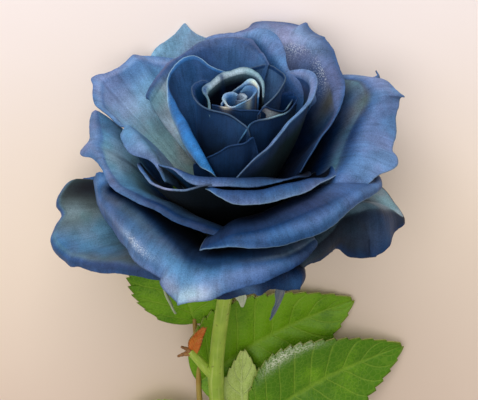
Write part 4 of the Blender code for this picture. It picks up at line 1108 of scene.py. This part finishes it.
def sepal_material(name, low, high):
    """A felted skin with pale edges, dyed where the sepal took up dye."""
    material, tree, shader = new_material(name, Sheen_Weight=0.3, Sheen_Roughness=0.5)
    grain = use_group(tree, GRAIN, Grain_per_metre=2600.0, Mottle_per_metre=300.0)
    streaks = use_group(tree, STREAKS, Streaks_across=9.0, Streaks_along=2.0)["Streaks"]
    line = use_group(tree, EDGE_LINE, Width_in_mm=0.8)["Line"]
    mixed = plus(tree, streaks, grain["Mottle"])
    colour = blend(tree, spread(tree, mixed, -0.25, 0.25), low, high)
    colour = blend(tree, times(tree, line, 0.5), colour, SEPAL_EDGE)
    colour = blend(tree, attribute(tree, "dyed"), colour, COLOURS["dusk"])
    tree.links.new(colour, shader.inputs["Base Color"])
    rough = plus(tree, times(tree, grain["Grain"], 0.4), 0.65)
    tree.links.new(rough, shader.inputs["Roughness"])
    bump(tree, shader, plus(tree, grain["Grain"], streaks), 0.6, 0.3 * MM)
    return material


sepal_back = sepal_material("sepal_back", (0.14, 0.26, 0.07), (0.24, 0.36, 0.13))
sepal_face = sepal_material("sepal_face", (0.34, 0.44, 0.26), (0.56, 0.62, 0.46))


def sepal_surface(bearing, longer, twist, seed, rows=60, columns=14):
    """A sepal folded back along the stem, with its fringe, and the distance to its edge."""
    p = np.array(SEPAL_LINE, float)
    p[1:] = p[0] + (p[1:] - p[0]) * longer
    t = np.linspace(0, 1, rows + 1)[:, None]
    line = (1 - t) ** 3 * p[0] + 3 * (1 - t) ** 2 * t * p[1] + 3 * (1 - t) * t**2 * p[2] + t**3 * p[3]
    q = np.linspace(-1, 1, columns + 1)[None, :]
    wide = SEPAL_WIDE * (1 - t**1.7) * (0.75 + 0.5 * t) + 0.3
    fringe = np.maximum(0, waves(t * SEPAL_LONG, (3.3, 5.1), seed)) * (1 - t) * 1.1
    side = q * (wide + fringe * np.abs(q) ** 4)
    sway = 0.25 * waves(t * SEPAL_LONG + 4 * q, (9, 6), seed + 1) * np.abs(q)
    reach = line[:, :1] - 0.05 * side**2 + sway
    turn = np.radians(bearing + twist * t)
    x = reach * np.cos(turn) - side * np.sin(turn)
    y = reach * np.sin(turn) + side * np.cos(turn)
    margin = np.minimum(wide * (1 - np.abs(q)), (1 - t) * SEPAL_LONG + 0 * q)
    return np.stack([x, y, line[:, 1:] + 0 * q], -1), margin


for number, (bearing, longer, twist) in enumerate(SEPALS):
    surface, margin = sepal_surface(bearing, longer, twist, 300 + 7 * number)
    dyed = np.linspace(0.35, 1.0, len(margin))[:, None] * (bearing == DYED_SEPAL) + 0 * margin
    made = blade(f"sepal_{bearing}", lie_down(surface), SEPAL_THICK, (sepal_back, sepal_face),
                 margin=margin, dyed=dyed)
    keep(made, "calyx")
print(len(SEPALS), "sepals")

# %% [markdown]
# ## Leaves
#
# A rose leaf is compound: leaflets with toothed edges stand on one stalk. Each leaflet is folded a
# little along its midrib and quilted between its side veins. The big forms are in the mesh: the
# teeth, the fold, the waves of the blade and the quilting. The veins themselves are drawn by a shader
# group on the blade's UV map, where u runs across and v from the stalk to the tip, and the same
# pattern lifts them a little as a bump. New growth keeps a thin reddish-brown line along its teeth.
#
# Leaflets differ in how the light meets them, so each may be painted a little lighter or darker than
# its neighbours, as painted light and shade, and soft spots of painted shine lie where the light would
# be reflected. One leaflet is turned over and shows its pale back with veins that stand out.

# %% Leaf finishes
SIDE_VEINS = 9.0
VEIN_LEAN = 0.22
PAINTED_SHINE_COLOUR = (0.85, 0.90, 0.70)


def make_leaf_veins():
    """The midrib, the side veins that run forward from it, and the fine net between them."""
    group, start, end = shader_group(
        "leaf_veins",
        [("Side veins", "NodeSocketFloat", SIDE_VEINS), ("Lean", "NodeSocketFloat", VEIN_LEAN)],
        [("Veins", "NodeSocketFloat"), ("Net", "NodeSocketFloat")],
    )
    across, along = uv_parts(group)[:2]
    from_rib = math(group, "ABSOLUTE", plus(group, times(group, across, 2.0), -1.0))
    rib = spread(group, from_rib, 0.015, 0.075, 1.0, 0.0)
    wander = times(group, plus(group, noise(group, object_place(group), 110.0), -0.5), 0.035)
    lean = times(group, math(group, "POWER", from_rib, 0.85), start.outputs["Lean"])
    phase = plus(group, math(group, "SUBTRACT", along, lean), wander)
    phase = math(group, "FRACT", times(group, phase, start.outputs["Side veins"]))
    off = math(group, "ABSOLUTE", plus(group, phase, -0.5))
    side = spread(group, off, 0.02, 0.085, 1.0, 0.0)
    fade = spread(group, from_rib, 0.7, 1.0, 1.0, 0.35)
    veins = math(group, "MAXIMUM", rib, times(group, side, fade))
    group.links.new(veins, end.inputs["Veins"])
    cells = group.nodes.new("ShaderNodeTexVoronoi")
    cells.feature = "DISTANCE_TO_EDGE"
    cells.inputs["Scale"].default_value = 620.0
    group.links.new(object_place(group), cells.inputs["Vector"])
    net = spread(group, cells.outputs["Distance"], 0.0, 0.16, 1.0, 0.0)
    group.links.new(net, end.inputs["Net"])
    return group


LEAF_VEINS = make_leaf_veins()


def leaf_material(name, dark, light, vein, edge, roughness, coat, veins_proud):
    """A leaf's finish. Its veins are sunk where veins_proud is below 0, and stand out above 0."""
    material, tree, shader = new_material(name, Coat_Weight=coat, Coat_Roughness=0.3,
                                          Specular_IOR_Level=0.2)
    grain = use_group(tree, GRAIN, Grain_per_metre=1800.0, Mottle_per_metre=90.0)
    pattern = use_group(tree, LEAF_VEINS)
    line = use_group(tree, EDGE_LINE, Width_in_mm=0.7)["Line"]
    tone = plus(tree, grain["Mottle"], times(tree, grain["Grain"], 0.35))
    # Painted light and shade: the whole leaflet is shifted lighter or darker by its lighter value.
    tone = plus(tree, tone, attribute(tree, "lighter"))
    colour = blend(tree, spread(tree, tone, -0.2, 0.2), dark, light)
    colour = blend(tree, times(tree, pattern["Net"], 0.14), colour, vein)
    colour = blend(tree, times(tree, pattern["Veins"], 0.3), colour, vein)
    colour = blend(tree, times(tree, line, 0.35), colour, edge)
    # Painted highlight: pale shine spots, broken up by the grain.
    broken = spread(tree, grain["Grain"], -0.12, 0.12, 0.2, 1.0)
    shine = times(tree, attribute(tree, "shine"), broken)
    colour = blend(tree, shine, colour, PAINTED_SHINE_COLOUR)
    tree.links.new(colour, shader.inputs["Base Color"])
    rough = plus(tree, times(tree, pattern["Net"], 0.08), roughness)
    tree.links.new(rough, shader.inputs["Roughness"])
    height = times(tree, pattern["Veins"], veins_proud)
    height = plus(tree, height, times(tree, pattern["Net"], -0.25))
    bump(tree, shader, height, 0.7, 0.35 * MM)
    return material


LEAF_SIDES = dict(
    leaf_face=dict(dark=(0.078, 0.22, 0.003), light=(0.185, 0.40, 0.009), vein=(0.34, 0.52, 0.05),
                   edge=(0.24, 0.16, 0.03), roughness=0.42, coat=0.15, veins_proud=-0.7),
    leaf_back=dict(dark=(0.40, 0.54, 0.10), light=(0.60, 0.74, 0.24), vein=(0.62, 0.72, 0.34),
                   edge=(0.36, 0.30, 0.10), roughness=0.55, coat=0.0, veins_proud=1.0),
    young_leaf_face=dict(dark=(0.58, 0.12, 0.015), light=(0.72, 0.26, 0.03), vein=(0.80, 0.46, 0.10),
                         edge=(0.36, 0.08, 0.02), roughness=0.45, coat=0.2, veins_proud=-0.5),
)
leaf_sides = [leaf_material(name, **look) for name, look in LEAF_SIDES.items()]
leaf_face, leaf_back, young_face = leaf_sides
print("leaf finishes:", [side.name for side in leaf_sides])

# %% [markdown]
# A leaflet's row has its root, its bearing on the table, its length and half width, the slope at
# which it leaves the stalk, how far its tip droops and how far it bends aside. Its teeth lie in a
# narrow band along the edge and point forward.

# %% The leaves
UPPER_STALK = [
    (-3.2, -101, 7.4), (-7.5, -92, 6.9), (-10.6, -76, 6.4), (-11.4, -59, 6.0), (-12.3, -43, 5.6),
]
UPPER_LEAFLETS = [
    dict(root=(-12.2, -44.5, 5.6), bearing=94, long=52, half=17.5, slope=4, droop=6.0, bend=3),
    dict(root=(-11.3, -66.0, 5.8), bearing=29, long=57, half=19.5, slope=-3, droop=1.5, bend=3),
    dict(root=(-9.9, -80.0, 6.5), bearing=197, long=35, half=10.5, slope=3, droop=5.5, bend=-3),
    dict(root=(-7.3, -92.5, 6.9), bearing=222, long=32, half=9.5, slope=2, droop=5.0, bend=-3),
]
LOWER_STALK = [
    (1.6, -124, 5.2), (7.0, -115, 7.6), (9.6, -101, 9.6), (9.0, -87, 10.8), (6.8, -76, 11.4),
]
LOWER_LEAFLETS = [
    dict(root=(7.4, -77.5, 11.3), bearing=26, long=53, half=18.5, slope=-4, droop=5.0, bend=3),
    dict(root=(9.3, -92.0, 10.4), bearing=-20, long=43, half=13.0, slope=-4, droop=4.5, bend=-4),
    dict(root=(9.3, -94.5, 10.3), bearing=98, long=42, half=11.0, slope=-2.3, droop=0.0, bend=3),
    dict(root=(8.6, -109.0, 8.6), bearing=-32, long=33, half=10.5, slope=-4, droop=4.0, bend=-3),
]
TURNED_OVER = ("leaf_lower", 2)
# Painted highlights: spots of shine on the leaflets that face the light.
PAINTED_SHINE_SPOTS = {
    ("leaf_lower", 0): [(0.85, 0.35, 0.12, 0.12, 0.9), (0.9, 0.52, 0.1, 0.1, 0.6)],
    ("leaf_upper", 2): [(0.5, 0.45, 0.2, 0.12, 0.6), (0.85, 0.6, 0.15, 0.06, 1.0)],
}
# Painted light and shade: how much lighter or darker each leaflet is painted.
LEAFLET_PAINTED_LIGHTNESS = {("leaf_lower", 0): -0.16, ("leaf_upper", 1): 0.14, ("leaf_upper", 2): 0.06}
STALK_RADIUS = (1.15, 0.75)
LEAF_THICK = 0.45
TEETH = 17
TOOTH = 0.085
TOOTH_FORWARD = 0.8
TOOTH_BAND = 0.28
TEETH_START = 0.1
FOLD = 0.2
QUILTING = 0.22


def leaflet_surface(root, bearing, long, half, slope, droop, bend, rows=136, columns=28):
    """A toothed leaflet, folded along its midrib, quilted, arched, and drooping to its tip."""
    t = np.linspace(0, 1, rows + 1)[:, None]
    q = np.linspace(-1, 1, columns + 1)[None, :]
    wide = half * np.sin(pi * t**0.8) ** 0.75 * (1 - 0.25 * t) / 0.93 + 0.45
    saw = (t * TEETH + 0.1 * np.sign(q)) % 1.0
    band = np.clip((np.abs(q) - 1 + TOOTH_BAND) / TOOTH_BAND, 0, 1) * (t > TEETH_START)
    notch = TOOTH * (1 - saw) * band
    side = q * wide * (1 - notch)
    ahead = long * t - 0.16 * np.abs(side) + TOOTH_FORWARD * band * saw
    up = ahead * np.tan(radians(slope)) - droop * t**2
    up = up + FOLD * np.abs(side) + 0.5 * np.sin(9 * t + 2 * q) * np.abs(q) * np.sin(pi * t)
    phase = (t - VEIN_LEAN * np.abs(q) ** 0.85) * SIDE_VEINS
    up = up + QUILTING * np.cos(2 * pi * phase) * np.sin(pi * t) * (1 - np.abs(q) ** 3)
    b = radians(bearing)
    side = side + bend * np.sin(pi * t)
    x = root[0] + ahead * cos(b) - side * sin(b)
    y = root[1] + ahead * sin(b) + side * cos(b)
    margin = np.minimum(wide * (1 - notch) * (1 - np.abs(q)), long * (1 - t) + 0 * q)
    return np.stack([x, y, soft_floor(root[2] + up)], -1), margin


def compound_leaf(name, stalk, leaflets):
    """A stalk and its leaflets, each with its own painted shine and painted lighter or darker tone."""
    line = smooth_line(stalk, 60)
    radius = np.linspace(*STALK_RADIUS, len(line))
    keep(rod(f"{name}_stalk", np.column_stack([line, radius]), 16, stalk_skin), name)
    for number, leaflet in enumerate(leaflets):
        surface, margin = leaflet_surface(**leaflet)
        sides = (leaf_face, leaf_back) if (name, number) == TURNED_OVER else (leaf_back, leaf_face)
        rows, across = np.linspace(0, 1, margin.shape[0]), np.linspace(-1, 1, margin.shape[1])
        shine = soft_spots(PAINTED_SHINE_SPOTS.get((name, number), ()), across, rows)
        lighter = np.full(margin.shape, LEAFLET_PAINTED_LIGHTNESS.get((name, number), 0.0))
        made = blade(f"{name}_leaflet_{number + 1}", surface, LEAF_THICK, sides,
                     margin=margin, shine=shine, lighter=lighter)
        keep(made, name)


compound_leaf("leaf_upper", UPPER_STALK, UPPER_LEAFLETS)
compound_leaf("leaf_lower", LOWER_STALK, LOWER_LEAFLETS)
print("two leaves with", len(UPPER_LEAFLETS) + len(LOWER_LEAFLETS), "leaflets")

# %% [markdown]
# ## Side shoot
#
# A shoot was cut back here. Its stub dried out at the end and split into two brown tips, and one
# young leaf, still orange-red, stands on it.

# %% The side shoot
SHOOT = [
    (-6.4, -58.5, 14.9, 1.7), (-9.4, -54.5, 15.5, 1.6),
    (-12.2, -50.8, 15.9, 1.35), (-13.4, -49.2, 16.1, 1.2),
]
DRY_TIPS = [((-13.0, -50.0, 16.0), (-17.4, -50.8, 16.6)), ((-13.0, -49.8, 16.0), (-16.2, -47.2, 17.0))]
YOUNG_LEAF = dict(root=(-12.6, -50.2, 16.0), bearing=68, long=10.5, half=1.7, slope=8, droop=0.6, bend=1)

keep(rod("shoot_stub", smooth_line(SHOOT, 24), 18, bark), "side_shoot")
for number, (start, end) in enumerate(DRY_TIPS):
    middle = np.add(start, end) / 2 + [0, 0.4, 0.2]
    line = smooth_line([start, middle, end], 14)
    sizes = np.linspace(1.0, 0.35, 15) + 0.08 * waves(np.arange(15), (4, 2.7), 400 + number)
    tip = rod(f"dry_tip_{number + 1}", np.column_stack([line, sizes]), 12, dry_skin)
    keep(tip, "side_shoot")
surface, margin = leaflet_surface(**YOUNG_LEAF, rows=60, columns=12)
young_leaf = blade("young_leaf", surface, LEAF_THICK, (stalk_skin, young_face), margin=margin)
keep(young_leaf, "side_shoot")
print(len(pieces), "pieces in all")

# %% [markdown]
# ## Stage
#
# A plain pale table, a large soft light from the back of the table and a weaker one from above.
# The table's colour is painted warmer and darker near the stem's end and paler behind the bloom,
# as painted shade near and painted light far off.

# %% Table and lights
TABLE_SIZE = 4.0
# Painted light and shade: the paper is painted darker and warmer near, and paler behind the bloom.
PAPER_NEAR_SHADE, PAPER_MIDDLE, PAPER_FAR_LIT = (0.66, 0.50, 0.40), (0.90, 0.76, 0.64), (0.95, 0.86, 0.85)
PAPER_SHADE_BAND = (-0.06, 0.10)
PAPER_LIGHT_BAND = (0.07, 0.17)
LIGHTS = dict(
    window=dict(at=(-0.2, 1.0, 0.55), size=(1.1, 0.7), watts=10.0),
    fill=dict(at=(-0.3, 0.2, 1.3), size=(1.0, 1.0), watts=6.0),
)
LIGHT_COLOUR = (1.0, 0.98, 0.96)
LIT_POINT = (0, 0.05, 0.03)
ROOM_COLOUR = (1.0, 0.95, 0.9, 1)
ROOM_STRENGTH = 0.38


def table_material():
    """Matt paper in three tones: painted shade near, painted light far, soft uneven borders."""
    material, tree, shader = new_material("pale_table", Roughness=0.9)
    place = object_place(tree)
    parts = tree.nodes.new("ShaderNodeSeparateXYZ")
    tree.links.new(place, parts.inputs[0])
    far = plus(tree, parts.outputs["Y"], times(tree, noise(tree, place, 9.0, 3.0), 0.05))
    colour = blend(tree, spread(tree, far, *PAPER_SHADE_BAND), PAPER_NEAR_SHADE, PAPER_MIDDLE)
    colour = blend(tree, spread(tree, far, *PAPER_LIGHT_BAND), colour, PAPER_FAR_LIT)
    tree.links.new(colour, shader.inputs["Base Color"])
    bump(tree, shader, noise(tree, place, 90.0, 4.0), 0.08, 0.5 * MM)
    return material


def table():
    """The flat table, which belongs to the stage and not to the part."""
    flat = bmesh.new()
    bmesh.ops.create_grid(flat, x_segments=8, y_segments=8, size=TABLE_SIZE / 2)
    mesh = bpy.data.meshes.new("table")
    flat.to_mesh(mesh)
    flat.free()
    made = bpy.data.objects.new("table", mesh)
    mesh.materials.append(table_material())
    bpy.context.scene.collection.objects.link(made)
    made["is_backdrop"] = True


def soft_light(name, at, size, watts):
    """A rectangle of light that faces the flower."""
    lamp = bpy.data.lights.new(name, "AREA")
    lamp.shape = "RECTANGLE"
    lamp.size, lamp.size_y = size
    lamp.energy = watts
    lamp.color = LIGHT_COLOUR
    made = bpy.data.objects.new(name, lamp)
    made.location = at
    made.rotation_euler = (Vector(LIT_POINT) - Vector(at)).to_track_quat("-Z", "Y").to_euler()
    bpy.context.scene.collection.objects.link(made)


table()
for name, light in LIGHTS.items():
    soft_light(name, **light)
world = bpy.data.worlds.new("room")
world.use_nodes = True
background = world.node_tree.nodes["Background"].inputs
background["Color"].default_value = ROOM_COLOUR
background["Strength"].default_value = ROOM_STRENGTH
bpy.context.scene.world = world
bpy.context.scene.view_settings.view_transform = "Standard"
print("lights:", list(LIGHTS))

# %% [markdown]
# The flower lies down, so the camera looks down on it, from the same side as in the picture. Its lens
# follows from the scale: the picture is as many millimetres wide as its pixels say, at the distance
# of the flower.

# %% The camera
PIXELS_PER_MM = 3.51
IMAGE_WIDTH = 478.0
SENSOR = 36.0
CAMERA_DISTANCE = 420.0
LOOK_FROM = 22.0
LOOK_AT = (2.0, 12.48, 41.14)

camera_data = bpy.data.cameras.new("camera")
camera_data.sensor_width = SENSOR
camera_data.lens = SENSOR * CAMERA_DISTANCE / (IMAGE_WIDTH / PIXELS_PER_MM)
camera = bpy.data.objects.new("camera", camera_data)
back = Vector((0, sin(radians(LOOK_FROM)), cos(radians(LOOK_FROM))))
camera.location = (Vector(LOOK_AT + SHIFT) + back * CAMERA_DISTANCE) * MM
up = Vector((0, cos(radians(LOOK_FROM)), -sin(radians(LOOK_FROM))))
right = up.cross(back)
camera.rotation_euler = Matrix((right, up, back)).transposed().to_euler()
bpy.context.scene.collection.objects.link(camera)
bpy.context.scene.camera = camera
print("lens", round(camera_data.lens, 1), "mm")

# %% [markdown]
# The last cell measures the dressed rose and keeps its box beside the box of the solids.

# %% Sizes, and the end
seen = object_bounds()
sizes = {"cad": [list(corner) for corner in cad_box], "visual": [list(corner) for corner in seen]}
print("visual box in mm:", [round(side / MM, 1) for side in seen[1] - seen[0]])
